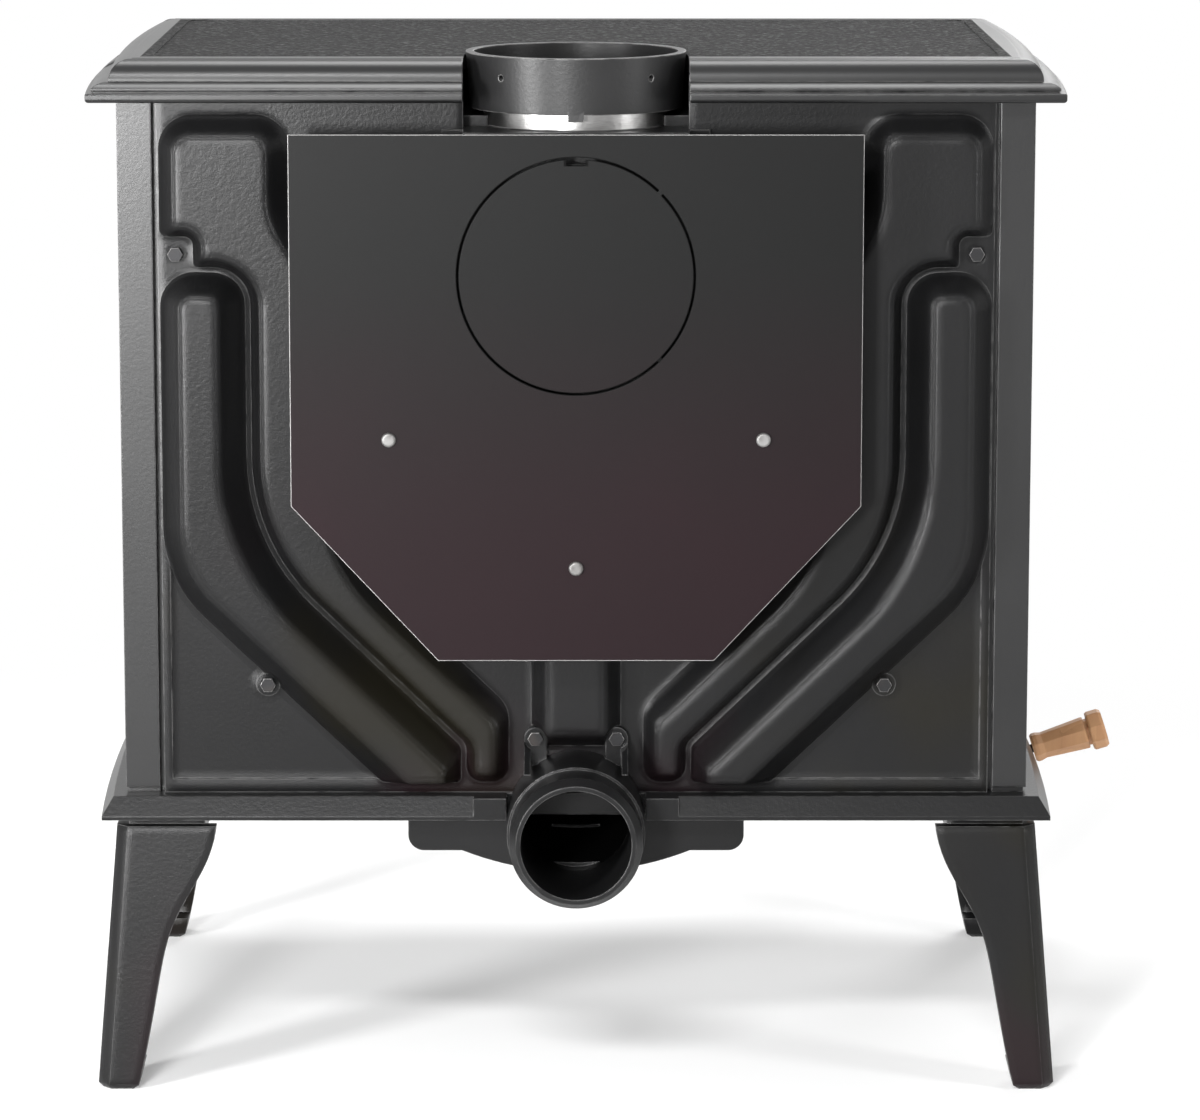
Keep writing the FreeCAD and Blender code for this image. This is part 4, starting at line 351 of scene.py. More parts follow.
@dataclass(frozen=True)
class StovePaint:
    """Satin black stove paint on cast iron, with orange peel and edges painted lighter in patches, partly
    rubbed wear and partly a painted highlight.
    """

    name: str = "stove_paint"
    colour: Colour = (0.0048, 0.0048, 0.005)
    paler: float = 1.45
    cloud_scale: float = 7.0
    cloud_span: Span = (0.3, 0.75)
    cloud_share: float = 0.6
    speck_scale: float = 90.0
    speck_share: float = 0.25
    edge_radius: float = 0.0016
    # edge colour: partly rubbed wear, partly a painted highlight
    wear_and_highlight: Colour = (0.12, 0.119, 0.118)
    wear_and_highlight_span: Span = (0.25, 0.6)
    wear_and_highlight_share: float = 0.8
    sheen: float = 0.21
    gloss_low: float = 0.25
    gloss_spread: float = 0.12
    gloss_mix: float = 0.55
    chamfer: float = 0.0
    slope: float = 0.35
    peel: float = 0.00016
    peel_scale: float = 330.0
    peel_mix: float = 0.7
    grain_scale: float = 1300.0
    stains: tuple[Colour, ...] = ()
    stain_scale: float = 3.4
    stain_step: float = 1.3
    stain_span: Span = (0.46, 0.62)
    stain_heights: Span = (0.3, 0.5)
    field: tuple[Vector, Vector] | None = None
    field_fade: float = 0.0015
    field_matt: float = 0.62
    stipple: float = 0.016
    stipple_scale: float = 175.0
    stipple_mix: float = 0.6
    cell_scale: float = 218.75
    # near black painted into the stipple's low pits, as shade
    painted_pit_shade: Colour = (0.001, 0.001, 0.001)
    pit_span: Span = (0.42, 0.56)
    pit_share: float = 0.8
    # lighter colour painted onto the stipple's peaks, as a highlight
    fine_speck: Colour = (0.018, 0.018, 0.0185)
    peak_span: Span = (0.54, 0.64)
    peak_gloss: float = 0.3
    machined: tuple[Vector, float] | None = None
    machined_fade: float = 0.001
    bare: Colour = (0.45, 0.445, 0.44)
    streak_scale: float = 160.0
    streak_stretch: tuple[float, float, float] = (1.0, 1.0, 9.0)
    streak_least: float = 0.55

    def material(self) -> bpy.types.Material:
        """Builds the paint."""
        tint = Palette(bpy.data.materials.new(self.name))
        at = tint.place()
        normal, edge = tint.edge(self.edge_radius)
        if self.chamfer > 0.0:
            normal = tint.chamfer(self.chamfer, self.slope)
        cloud = tint.noise(at, self.cloud_scale, detail=3.0)
        speck = tint.noise(at, self.speck_scale)
        paler = tuple(part * self.paler for part in self.colour)
        faded = cloud.smooth(*self.cloud_span) * self.cloud_share + speck * self.speck_share
        body = self.stained(tint, at, tint.blend(faded, self.colour, paler))
        # edges painted lighter in patches: partly rubbed wear, partly a painted highlight
        body = tint.blend(edge * speck.smooth(*self.wear_and_highlight_span) * self.wear_and_highlight_share, body, self.wear_and_highlight)
        peel = tint.noise(at, self.peel_scale)
        grain = tint.noise(at, self.grain_scale)
        rough = self.gloss_low + self.gloss_spread * cloud.mixed(grain, self.gloss_mix)
        normal = tint.relief(peel.mixed(grain, self.peel_mix), self.peel, normal)
        if self.field is not None:
            mask = self.inside(tint, at)
            lumps = tint.noise(at, self.stipple_scale, rough=0.6)
            rise = lumps.mixed(1.0 - tint.cells(at, self.cell_scale), self.stipple_mix)
            peak = rise.smooth(*self.peak_span)
            normal = tint.relief(mask * rise, self.stipple, normal)
            # the stipple's low pits are painted near black: painted shade
            body = tint.blend(mask * (1.0 - rise.smooth(*self.pit_span)) * self.pit_share, body, self.painted_pit_shade)
            # the stipple's peaks are painted lighter: a painted highlight
            body = tint.blend(mask * peak, body, self.fine_speck)
            rough = rough + mask * (self.field_matt - self.peak_gloss * peak)
        metal: Number = 0.0
        if self.machined is not None:
            metal = self.turned_band(tint, at)
            around = tint.turned(Axis.UPRIGHT.value, self.streak_stretch, self.machined[0])
            streaks = tint.noise(around, self.streak_scale, detail=3.0)
            body = tint.blend(metal * streaks.lifted(self.streak_least), body, self.bare)
        return tint.surface(
            Base_Color=body,
            Roughness=rough,
            Metallic=metal,
            Normal=normal,
            Specular_IOR_Level=self.sheen,
        )

    def stained(self, tint: Palette, at: Shade, body: Shade) -> Shade:
        """Adds the stains, in patches low on the casting.

        Args:
            tint: the palette.
            at: object coordinates.
            body: the paint's colour.

        Returns:
            The stained colour.
        """
        for index, stain in enumerate(self.stains):
            patch = tint.noise(at, self.stain_scale + self.stain_step * index).smooth(*self.stain_span)
            low = 1.0 - tint.parts(at)[2].smooth(*self.stain_heights)
            body = tint.blend(patch * low, body, stain)
        return body

    def turned_band(self, tint: Palette, at: Shade) -> Shade:
        """The share of a band that is machined bright round an upright axis.

        Args:
            tint: the palette.
            at: object coordinates.

        Returns:
            1 on the band, above its foot and inside its radius.
        """
        foot, radius = self.machined
        across, back, height = tint.parts(at)
        across = across - foot.x
        back = back - foot.y
        reach = (across * across + back * back).root()
        above = height.smooth(foot.z, foot.z + self.machined_fade)
        return (1.0 - reach.smooth(radius, radius + self.machined_fade)) * above

    def inside(self, tint: Palette, at: Shade) -> Shade:
        """The share of the stippled field.

        Args:
            tint: the palette.
            at: object coordinates.

        Returns:
            1 in the field and 0 outside it.
        """
        low, high = self.field
        share: Any = 1.0
        for axis, value in enumerate(tint.parts(at)):
            middle = (low[axis] + high[axis]) / 2
            half = (high[axis] - low[axis]) / 2
            step = 1.0 - abs(value - middle).smooth(half - self.field_fade, half)
            share = step if axis == 0 else share * step
        return share


@dataclass(frozen=True)
class SheetPaint:
    """Thin dark paint on rolled sheet, warmer low down in clouds, with edges painted light, partly bare and
    partly a painted highlight, and painted shade along the slot round its knock-out and in its pry notch.
    """

    disc: Vector
    name: str = "sheet_paint"
    colour: Colour = (0.0046, 0.0047, 0.0047)
    warm: Colour = (0.0112, 0.0040, 0.0058)
    warm_heights: Span = (0.40, 0.66)
    warm_least: float = 0.65
    cloud_scale: float = 3.2
    cloud_span: Span = (0.42, 0.7)
    grain_scale: float = 700.0
    grain_depth: float = 0.00006
    edge_radius: float = 0.0012
    # nearly white edge colour: partly the bare cut edge, partly a painted highlight
    wear_and_highlight: Colour = (0.62, 0.61, 0.60)
    bare_from: float = 0.093
    bare_fade: float = 0.002
    # near black painted along the knock-out's slot and into its pry notch, as shade
    slot_shade: Colour = (0.001, 0.001, 0.001)
    slot_shade_width: float = 0.0016
    slot_shade_core: float = 0.6
    disc_radius: float = 0.0877
    bridge_angle: float = 225.0
    bridge_half: float = 0.002
    bridge_core: float = 0.8
    bridge_fade: float = 0.001
    pry_half: float = 0.0088
    pry_drop: float = 0.0062
    pry_fade: float = 0.0005
    sheen: float = 0.105
    gloss_low: float = 0.34
    cloud_gloss: float = 0.08
    grain_gloss: float = 0.05
    slot_shade_matt: float = 0.4

    def material(self) -> bpy.types.Material:
        """Builds the paint."""
        tint = Palette(bpy.data.materials.new(self.name))
        at = tint.place()
        rounded, edge = tint.edge(self.edge_radius)
        cloud = tint.noise(at, self.cloud_scale, detail=3.0, rough=0.55)
        grain = tint.noise(at, self.grain_scale, detail=3.0)
        across, _, height = tint.parts(at)
        side = across - self.disc.x
        rise = height - self.disc.z
        reach = (side * side + rise * rise).root()
        slot_shade_mask = self.slot_shade_line(side, rise, reach)
        low = 1.0 - height.smooth(*self.warm_heights)
        tinted = low * cloud.smooth(*self.cloud_span).lifted(self.warm_least)
        body = tint.blend(tinted, self.colour, self.warm)
        # edges outside the knock-out are painted nearly white: partly the bare cut edge, partly a painted
        # highlight
        bare = reach.smooth(self.bare_from, self.bare_from + self.bare_fade)
        body = tint.blend(edge * bare, body, self.wear_and_highlight)
        # the slot and the pry notch are painted near black: painted shade
        body = tint.blend(slot_shade_mask, body, self.slot_shade)
        normal = tint.relief(grain, self.grain_depth, rounded)
        rough = self.gloss_low + self.cloud_gloss * cloud + self.grain_gloss * grain + self.slot_shade_matt * slot_shade_mask
        return tint.surface(Base_Color=body, Roughness=rough, Normal=normal, Specular_IOR_Level=self.sheen)

    def slot_shade_line(self, side: Shade, rise: Shade, reach: Shade) -> Shade:
        """Painted shade along the slot round the knock-out, open at one bridge, and in the pry notch at its
        top.

        Args:
            side: how far a point is beside the knock-out's centre.
            rise: how far it is above it.
            reach: how far it is from it.

        Returns:
            1 along the slot and in the notch, where shade is painted.
        """
        core = self.slot_shade_width * self.slot_shade_core
        ring = 1.0 - abs(reach - self.disc_radius).smooth(core, self.slot_shade_width)
        turn = math.radians(self.bridge_angle)
        ahead = side * math.cos(turn) - rise * math.sin(turn)
        aside = side * math.sin(turn) + rise * math.cos(turn)
        narrow = 1.0 - abs(aside).smooth(self.bridge_half * self.bridge_core, self.bridge_half)
        ring = ring * (1.0 - ahead.smooth(0.0, self.bridge_fade) * narrow)
        foot = self.disc_radius - self.pry_drop
        notch = rise.smooth(foot, foot + self.pry_fade)
        notch = notch * (1.0 - reach.smooth(self.disc_radius, self.disc_radius + self.pry_fade))
        notch = notch * (1.0 - abs(side).smooth(self.pry_half, self.pry_half + self.pry_fade))
        return ring.larger(notch)


@dataclass(frozen=True)
class DarkSteel:
    """Blackened steel with edges painted bright, partly rubbed wear and partly a painted highlight."""

    name: str = "dark_steel"
    colour: Colour = (0.018, 0.018, 0.019)
    edge_radius: float = 0.0007
    edge_wear_and_highlight: Colour = (0.55, 0.54, 0.53)
    edge_wear_and_highlight_share: float = 0.85
    stain: Colour = (0.035, 0.03, 0.027)
    stain_scale: float = 45.0
    stain_span: Span = (0.45, 0.8)
    grain_scale: float = 1600.0
    grain_depth: float = 0.00005
    gloss_low: float = 0.34
    gloss_spread: float = 0.2
    metal: float = 0.75

    def material(self) -> bpy.types.Material:
        """Builds the steel."""
        tint = Palette(bpy.data.materials.new(self.name))
        at = tint.place()
        rounded, edge = tint.edge(self.edge_radius)
        cloud = tint.noise(at, self.stain_scale, detail=4.0)
        grain = tint.noise(at, self.grain_scale)
        body = tint.blend(cloud.smooth(*self.stain_span), self.colour, self.stain)
        # edges painted bright: partly rubbed wear, partly a painted highlight
        body = tint.blend(edge * self.edge_wear_and_highlight_share, body, self.edge_wear_and_highlight)
        normal = tint.relief(grain, self.grain_depth, rounded)
        rough = self.gloss_low + self.gloss_spread * cloud
        return tint.surface(Base_Color=body, Roughness=rough, Normal=normal, Metallic=self.metal)


@dataclass(frozen=True)
class TurnedWood:
    """Oiled hardwood with its grain along the grip."""

    name: str
    axis: Axis
    centre: tuple[float, float, float]
    light: Colour = (0.59, 0.325, 0.155)
    middle: Colour = (0.50, 0.255, 0.115)
    middle_at: float = 0.45
    dark: Colour = (0.30, 0.135, 0.055)
    stretch: tuple[float, float, float] = (1.0, 1.0, 0.07)
    ring_scale: float = 42.0
    ring_bend: float = 5.0
    ring_detail: float = 1.4
    ring_share: float = 0.3
    streak_scale: float = 210.0
    streak_share: float = 0.35
    sway_scale: float = 40.0
    sway_share: float = 0.2
    fibre_scale: float = 900.0
    fibre_share: float = 0.25
    fibre_depth: float = 0.00012
    fibre_mix: float = 0.7
    edge_radius: float = 0.001
    edge_share: float = 0.25
    gloss_low: float = 0.42
    gloss_spread: float = 0.16
    oil: float = 0.12
    oil_gloss: float = 0.3

    def material(self) -> bpy.types.Material:
        """Builds the wood."""
        tint = Palette(bpy.data.materials.new(self.name))
        along = tint.turned(self.axis.value, self.stretch, self.centre)
        rounded, edge = tint.edge(self.edge_radius)
        sway = tint.noise(along, self.sway_scale)
        fibre = tint.noise(along, self.fibre_scale, detail=3.0, rough=0.65)
        streak = tint.noise(along, self.streak_scale, detail=3.0, rough=0.6)
        ring = tint.node(
            "ShaderNodeTexWave",
            {"wave_type": "RINGS", "rings_direction": "Z", "wave_profile": "SAW"},
            {
                "Vector": along,
                "Scale": self.ring_scale,
                "Distortion": self.ring_bend,
                "Detail": 2.0,
                "Detail Scale": self.ring_detail,
            },
            "Fac",
        )
        grain = self.ring_share * ring + self.streak_share * streak
        grain = grain + self.sway_share * sway + self.fibre_share * fibre
        body = tint.ramp(grain, ((0.0, self.dark), (self.middle_at, self.middle), (1.0, self.light)))
        body = tint.blend(edge * self.edge_share, body, self.light)
        normal = tint.relief(fibre.mixed(ring, self.fibre_mix), self.fibre_depth, rounded)
        return tint.surface(
            Base_Color=body,
            Roughness=self.gloss_low + self.gloss_spread * fibre,
            Normal=normal,
            Coat_Weight=self.oil,
            Coat_Roughness=self.oil_gloss,
        )


@dataclass(frozen=True)
class CeramicGlass:
    """Ceramic door glass, a little smoky."""

    name: str = "ceramic_glass"
    colour: Colour = (0.74, 0.72, 0.69)
    clear: float = 0.96
    index: float = 1.5
    haze_scale: float = 14.0
    haze_span: Span = (0.45, 0.8)
    smear_scale: float = 160.0
    gloss_low: float = 0.02
    gloss_spread: float = 0.07

    def material(self) -> bpy.types.Material:
        """Builds the glass."""
        tint = Palette(bpy.data.materials.new(self.name))
        at = tint.place()
        haze = tint.noise(at, self.haze_scale, detail=4.0).smooth(*self.haze_span)
        smear = tint.noise(at, self.smear_scale, detail=3.0)
        return tint.surface(
            Base_Color=self.colour,
            Roughness=self.gloss_low + self.gloss_spread * haze * smear,
            Transmission_Weight=self.clear,
            IOR=self.index,
        )


@dataclass(frozen=True)
class FibreRope:
    """Knitted glass fibre, grey from heat, with painted shade in the hollows between its stitches."""

    name: str = "fibre_rope"
    pale: Colour = (0.36, 0.345, 0.32)
    dark: Colour = (0.085, 0.08, 0.075)
    knit_scale: float = 520.0
    knit_span: Span = (0.2, 0.75)
    knit_depth: float = 0.0007
    soot_scale: float = 22.0
    soot_span: Span = (0.4, 0.75)
    soot_share: float = 0.6
    fuzz_scale: float = 2600.0
    fuzz_share: float = 0.4
    fuzz_sheen: float = 0.2
    gloss_low: float = 0.86
    gloss_spread: float = 0.1

    def material(self) -> bpy.types.Material:
        """Builds the fibre."""
        tint = Palette(bpy.data.materials.new(self.name))
        at = tint.place()
        knit = tint.cells(at, self.knit_scale)
        soot = tint.noise(at, self.soot_scale, detail=4.0)
        fuzz = tint.noise(at, self.fuzz_scale, detail=3.0)
        # darker away from the stitch centres, where the relief is low: painted shade in the hollows between
        # the stitches
        body = tint.blend(knit.smooth(*self.knit_span), self.pale, self.dark)
        body = tint.blend(soot.smooth(*self.soot_span) * self.soot_share, body, self.dark)
        return tint.surface(
            Base_Color=body,
            Roughness=self.gloss_low + self.gloss_spread * fuzz,
            Normal=tint.relief(1.0 - knit + self.fuzz_share * fuzz, self.knit_depth),
            Sheen_Weight=self.fuzz_sheen,
        )


@dataclass(frozen=True)
class FireBrick:
    """Light firebrick with pores, grog and a little soot."""

    name: str = "fire_brick"
    pale: Colour = (0.60, 0.50, 0.36)
    buff: Colour = (0.47, 0.36, 0.235)
    cloud_scale: float = 12.0
    iron: Colour = (0.20, 0.12, 0.07)
    grog_scale: float = 210.0
    grog_span: Span = (0.78, 0.9)
    grog_share: float = 0.7
    soot: Colour = (0.06, 0.055, 0.05)
    soot_scale: float = 4.0
    soot_span: Span = (0.45, 0.8)
    soot_share: float = 0.55
    edge_radius: float = 0.002
    edge_share: float = 0.4
    grit_scale: float = 900.0
    grit_depth: float = 0.0006
    grit_mix: float = 0.5
    pore_scale: float = 430.0
    pore_span: Span = (0.0, 0.35)
    gloss_low: float = 0.84
    gloss_spread: float = 0.12

    def material(self) -> bpy.types.Material:
        """Builds the brick."""
        tint = Palette(bpy.data.materials.new(self.name))
        at = tint.place()
        rounded, edge = tint.edge(self.edge_radius)
        cloud = tint.noise(at, self.cloud_scale, detail=4.0)
        grog = 1.0 - tint.cells(at, self.grog_scale)
        pores = tint.cells(at, self.pore_scale).smooth(*self.pore_span)
        fine_speck = tint.noise(at, self.grit_scale, detail=3.0)
        soot = tint.noise(at, self.soot_scale, detail=4.0)
        body = tint.blend(cloud, self.pale, self.buff)
        body = tint.blend(grog.smooth(*self.grog_span) * self.grog_share, body, self.iron)
        body = tint.blend(soot.smooth(*self.soot_span) * self.soot_share, body, self.soot)
        body = tint.blend(edge * self.edge_share, body, self.pale)
        normal = tint.relief(fine_speck.mixed(pores, self.grit_mix), self.grit_depth, rounded)
        rough = self.gloss_low + self.gloss_spread * fine_speck
        return tint.surface(Base_Color=body, Roughness=rough, Normal=normal)


@dataclass(frozen=True)
class HeatedSteel:
    """Stainless tube with straw and blue heat colours."""

    name: str = "heated_steel"
    plain: Colour = (0.42, 0.40, 0.38)
    plain_to: float = 0.3
    straw: Colour = (0.40, 0.26, 0.12)
    straw_at: float = 0.5
    blue: Colour = (0.13, 0.14, 0.22)
    blue_from: float = 0.68
    heat_scale: float = 6.0
    grain_scale: float = 900.0
    grain_depth: float = 0.00006
    gloss_low: float = 0.32
    gloss_spread: float = 0.18
    metal: float = 0.9

    def material(self) -> bpy.types.Material:
        """Builds the steel."""
        tint = Palette(bpy.data.materials.new(self.name))
        at = tint.place()
        heat = tint.noise(at, self.heat_scale, detail=3.0)
        grain = tint.noise(at, self.grain_scale)
        stops = ((self.plain_to, self.plain), (self.straw_at, self.straw), (self.blue_from, self.blue))
        return tint.surface(
            Base_Color=tint.ramp(heat, stops),
            Roughness=self.gloss_low + self.gloss_spread * grain,
            Normal=tint.relief(grain, self.grain_depth),
            Metallic=self.metal,
        )


class Workshop:
    """Small modelling steps that act on one object at a time."""

    @staticmethod
    def clear() -> None:
        """Leaves nothing selected."""
        if bpy.context.object and bpy.context.object.mode != "OBJECT":
            bpy.ops.object.mode_set(mode="OBJECT")
        bpy.ops.object.select_all(action="DESELECT")

    @staticmethod
    def hold(piece: bpy.types.Object) -> None:
        """Makes one object the only one selected."""
        Workshop.clear()
        bpy.context.view_layer.objects.active = piece
        piece.select_set(True)

    @staticmethod
    def edit(piece: bpy.types.Object, pick: Callable[[Any], bool], mode: str = "VERT") -> None:
        """Enters edit mode with what a test picks selected.

        Args:
            piece: the object.
            pick: test of a vertex, edge or face.
            mode: VERT, EDGE or FACE.
        """
        Workshop.hold(piece)
        bpy.ops.object.mode_set(mode="EDIT")
        bpy.ops.mesh.select_mode(type=mode)
        bpy.ops.mesh.select_all(action="DESELECT")
        bpy.ops.object.mode_set(mode="OBJECT")
        items = {"VERT": piece.data.vertices, "EDGE": piece.data.edges, "FACE": piece.data.polygons}[mode]
        for item in items:
            item.select = pick(item)
        bpy.ops.object.mode_set(mode="EDIT")

    @staticmethod
    def done(piece: bpy.types.Object, name: str) -> bpy.types.Object:
        """Leaves edit mode, names the piece and puts its place in its mesh.

        Args:
            piece: the object.
            name: its name.

        Returns:
            The same object.
        """
        Workshop.hold(piece)
        bpy.ops.object.transform_apply(location=True, rotation=True, scale=True)
        piece.name = name
        piece.data.name = name
        return piece


@dataclass
class RopeSeal:
    """A knitted rope seal pressed into a rectangular groove."""

    name: str
    node: str
    width: float
    corner: float
    strand: float = 0.0035
    knit_rise: float = 0.00045
    corner_steps: int = 6
    ring_steps: int = 2

    def build(self) -> bpy.types.Object:
        """Models the rope where the node is.

        Returns:
            The rope.
        """
        low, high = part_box(self.node)
        middle = (low + high) / 2
        size = high - low
        Workshop.clear()
        bpy.ops.mesh.primitive_plane_add(size=1.0, location=middle, rotation=(math.pi / 2, 0.0, 0.0))
        rope = bpy.context.object
        rope.scale = (size.x - self.width, size.z - self.width, 1.0)
        bpy.ops.object.transform_apply(location=False, rotation=True, scale=True)
        Workshop.edit(rope, lambda vertex: True)
        bpy.ops.mesh.delete(type="ONLY_FACE")
        bpy.ops.mesh.select_all(action="SELECT")
        bpy.ops.mesh.bevel(offset=self.corner, affect="VERTICES", segments=self.corner_steps)
        bpy.ops.object.mode_set(mode="OBJECT")
        self.divide(rope, size)
        Workshop.hold(rope)
        bpy.ops.object.convert(target="CURVE")
        rope = bpy.context.object
        rope.data.bevel_depth = self.width / 2 - self.knit_rise
        rope.data.bevel_resolution = self.ring_steps
        bpy.ops.object.convert(target="MESH")
        rope = bpy.context.object
        self.knit(rope)
        Workshop.edit(rope, lambda vertex: True)
        press = (size.y - self.knit_rise) / self.width
        bpy.ops.transform.resize(value=(1.0, press, 1.0), center_override=middle)
        bpy.ops.mesh.normals_make_consistent(inside=False)
        bpy.ops.object.mode_set(mode="OBJECT")
        bpy.ops.object.shade_smooth()
        return Workshop.done(rope, self.name)

    def divide(self, rope: bpy.types.Object, size: Vector) -> None:
        """Cuts the long runs into stitches.

        Args:
            rope: the closed loop of edges.
            size: the whole loop's size.
        """
        for axis in (0, 2):
            longest = size[axis] / 2
            points = rope.data.vertices

            def long_run(edge: bpy.types.MeshEdge) -> bool:
                """Whether an edge is a long run along this axis."""
                first, second = (points[i].co for i in edge.vertices)
                return abs(first[axis] - second[axis]) > longest

            Workshop.edit(rope, long_run, "EDGE")
            bpy.ops.mesh.subdivide(number_cuts=int(size[axis] / self.strand))
            bpy.ops.object.mode_set(mode="OBJECT")

    def knit(self, rope: bpy.types.Object) -> None:
        """Raises every second stitch in each direction."""
        around = 2 * (self.ring_steps + 2)
        Workshop.edit(rope, lambda vertex: (vertex.index // around + vertex.index % around) % 2 == 0)
        bpy.ops.transform.shrink_fatten(value=self.knit_rise)
        bpy.ops.object.mode_set(mode="OBJECT")


@dataclass
class FlatSeal:
    """A woven tape laid flat round a pane."""

    name: str
    node: str
    width: float
    cuts: int = 40

    def build(self) -> bpy.types.Object:
        """Models the tape where the node is.

        Returns:
            The tape.
        """
        low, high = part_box(self.node)
        size = high - low
        Workshop.clear()
        middle = Vector(((low.x + high.x) / 2, high.y, (low.z + high.z) / 2))
        bpy.ops.mesh.primitive_plane_add(size=1.0, location=middle, rotation=(math.pi / 2, 0.0, 0.0))
        tape = bpy.context.object
        tape.scale = (size.x, size.z, 1.0)
        bpy.ops.object.transform_apply(location=True, rotation=True, scale=True)
        Workshop.edit(tape, lambda face: True, "FACE")
        bpy.ops.mesh.inset(thickness=self.width)
        bpy.ops.mesh.delete(type="FACE")
        bpy.ops.mesh.select_all(action="SELECT")
        bpy.ops.mesh.subdivide(number_cuts=self.cuts)
        bpy.ops.mesh.select_all(action="SELECT")
        bpy.ops.mesh.extrude_region_move(TRANSFORM_OT_translate={"value": (0.0, -size.y, 0.0)})
        bpy.ops.mesh.select_all(action="SELECT")
        bpy.ops.mesh.normals_make_consistent(inside=False)
        bpy.ops.object.mode_set(mode="OBJECT")
        return Workshop.done(tape, self.name)


@dataclass
class RingSeal:
    """A round fibre ring under the flue collar."""

    name: str
    node: str
    width: float
    sides: int = 128

    def build(self) -> bpy.types.Object:
        """Models the ring where the node is.

        Returns:
            The ring.
        """
        low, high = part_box(self.node)
        middle = Vector(((low.x + high.x) / 2, (low.y + high.y) / 2, low.z))
        Workshop.clear()
        bpy.ops.mesh.primitive_circle_add(
            vertices=self.sides,
            radius=(high.x - low.x) / 2,
            fill_type="NGON",
            location=middle,
        )
        ring = bpy.context.object
        Workshop.edit(ring, lambda face: True, "FACE")
        bpy.ops.mesh.inset(thickness=self.width)
        bpy.ops.mesh.delete(type="FACE")
        bpy.ops.mesh.select_all(action="SELECT")
        bpy.ops.mesh.extrude_region_move(TRANSFORM_OT_translate={"value": (0.0, 0.0, high.z - low.z)})
        bpy.ops.mesh.select_all(action="SELECT")
        bpy.ops.mesh.normals_make_consistent(inside=False)
        bpy.ops.object.mode_set(mode="OBJECT")
        return Workshop.done(ring, self.name)


class Dresser:
    """Gives nodes their finishes."""

    def __init__(self, nodes: dict[str, bpy.types.Object]) -> None:
        """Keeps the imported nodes."""
        self.nodes = nodes

    def coat(self, material: bpy.types.Material, *names: str) -> None:
        """Coats nodes.

        Args:
            material: the finish.
            names: the nodes.
        """
        for name in names:
            mesh = self.nodes[name].data
            mesh.materials.clear()
            mesh.materials.append(material)
            LOG.info("%s wears %s", name, material.name)

    def swap(self, piece: bpy.types.Object, node: str, body: str, material: bpy.types.Material) -> None:
        """Lets a new piece stand for a node.

        Args:
            piece: the new piece.
            node: the node that it replaces.
            body: the body that it rides on.
            material: its finish.
        """
        piece.data.materials.clear()
        piece.data.materials.append(material)
        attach(piece, body)
        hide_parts(node)
        LOG.info("%s stands for %s on %s", piece.name, node, body)


@dataclass
class TopAssembly:
    """The moulded top, the flue collar, the smoke box and its seal."""

    dresser: Dresser
    seal: bpy.types.Material
    field_margin: float = 0.046
    field_height: float = 0.003
    ring_width: float = 0.005
    satin_colour: Colour = (0.008, 0.008, 0.0082)
    # the collar's edges are painted pale: partly wear, partly a painted highlight on its rim
    satin_wear_and_highlight: Colour = (0.32, 0.315, 0.31)
    satin_sheen: float = 0.36
    satin_gloss: float = 0.33
    neck_radius: float = 0.0715
    neck_height: float = 0.0175
    top_sheen: float = 0.36
    top_peel: float = 0.00004
    top_gloss: float = 0.27

    def dress(self, paint: bpy.types.Material, steel: bpy.types.Material) -> None:
        """Paints the top.

        Args:
            paint: plain stove paint.
            steel: the bolts' finish.
        """
        low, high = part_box("top_plate")
        margin = Vector((self.field_margin, self.field_margin, 0.0))
        field = (
            Vector((low.x, low.y, high.z - self.field_height)) + margin,
            high - margin + Vector((0.0, 0.0, self.field_height)),
        )
        top = StovePaint(
            "stippled_top",
            sheen=self.top_sheen,
            peel=self.top_peel,
            gloss_low=self.top_gloss,
            field=field,
        ).material()
        self.dresser.coat(top, "top_plate")
        # collar paint whose edges are painted pale, partly wear and partly a painted highlight
        satin = StovePaint(
            "collar_satin",
            colour=self.satin_colour,
            wear_and_highlight=self.satin_wear_and_highlight,
            sheen=self.satin_sheen,
            gloss_low=self.satin_gloss,
        ).material()
        self.dresser.coat(satin, "flue_collar")
        ring_low, ring_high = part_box("flue_collar")
        foot = (ring_low + ring_high) / 2
        foot.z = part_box("flue_box")[1].z - self.neck_height
        neck = StovePaint("machined_neck", machined=(foot, self.neck_radius)).material()
        self.dresser.coat(neck, "flue_box")
        self.dresser.coat(paint, "flue_blank", "inner_top")
        self.dresser.coat(steel, "flue_box_bolts", "flue_blank_bolts")
        ring = RingSeal("collar_ring_seal", "flue_gasket", self.ring_width).build()
        self.dresser.swap(ring, "flue_gasket", "stove", self.seal)


@dataclass
class BodyAssembly:
    """The outer castings, the base, the legs and the rear ducts."""

    dresser: Dresser
    chamfer_width: float = 0.009
    side_peel: float = 0.00007
    stains: tuple[Colour, ...] = ((0.0085, 0.0041, 0.0053), (0.0070, 0.0062, 0.0040))
    side_sheen: float = 0.48

    def dress(self, paint: bpy.types.Material, steel: bpy.types.Material) -> None:
        """Paints the castings.

        Args:
            paint: plain stove paint.
            steel: the bolts' finish.
        """
        sides = [f"side_panel_{side}" for side in ("left", "right")]
        legs = [f"leg_{end}_{side}" for end in ("rear", "front") for side in ("left", "right")]
        soft = StovePaint("soft_casting", chamfer=self.chamfer_width, stains=self.stains).material()
        smooth = StovePaint("smooth_casting", sheen=self.side_sheen, peel=self.side_peel).material()
        self.dresser.coat(paint, "base_plate", "front_frame", "air_inlet", "air_box")
        self.dresser.coat(smooth, *sides)
        self.dresser.coat(soft, "rear_plate", *legs)
        self.dresser.coat(steel, "rear_bolts", "inlet_bolts", "leg_bolts", "tie_rods")


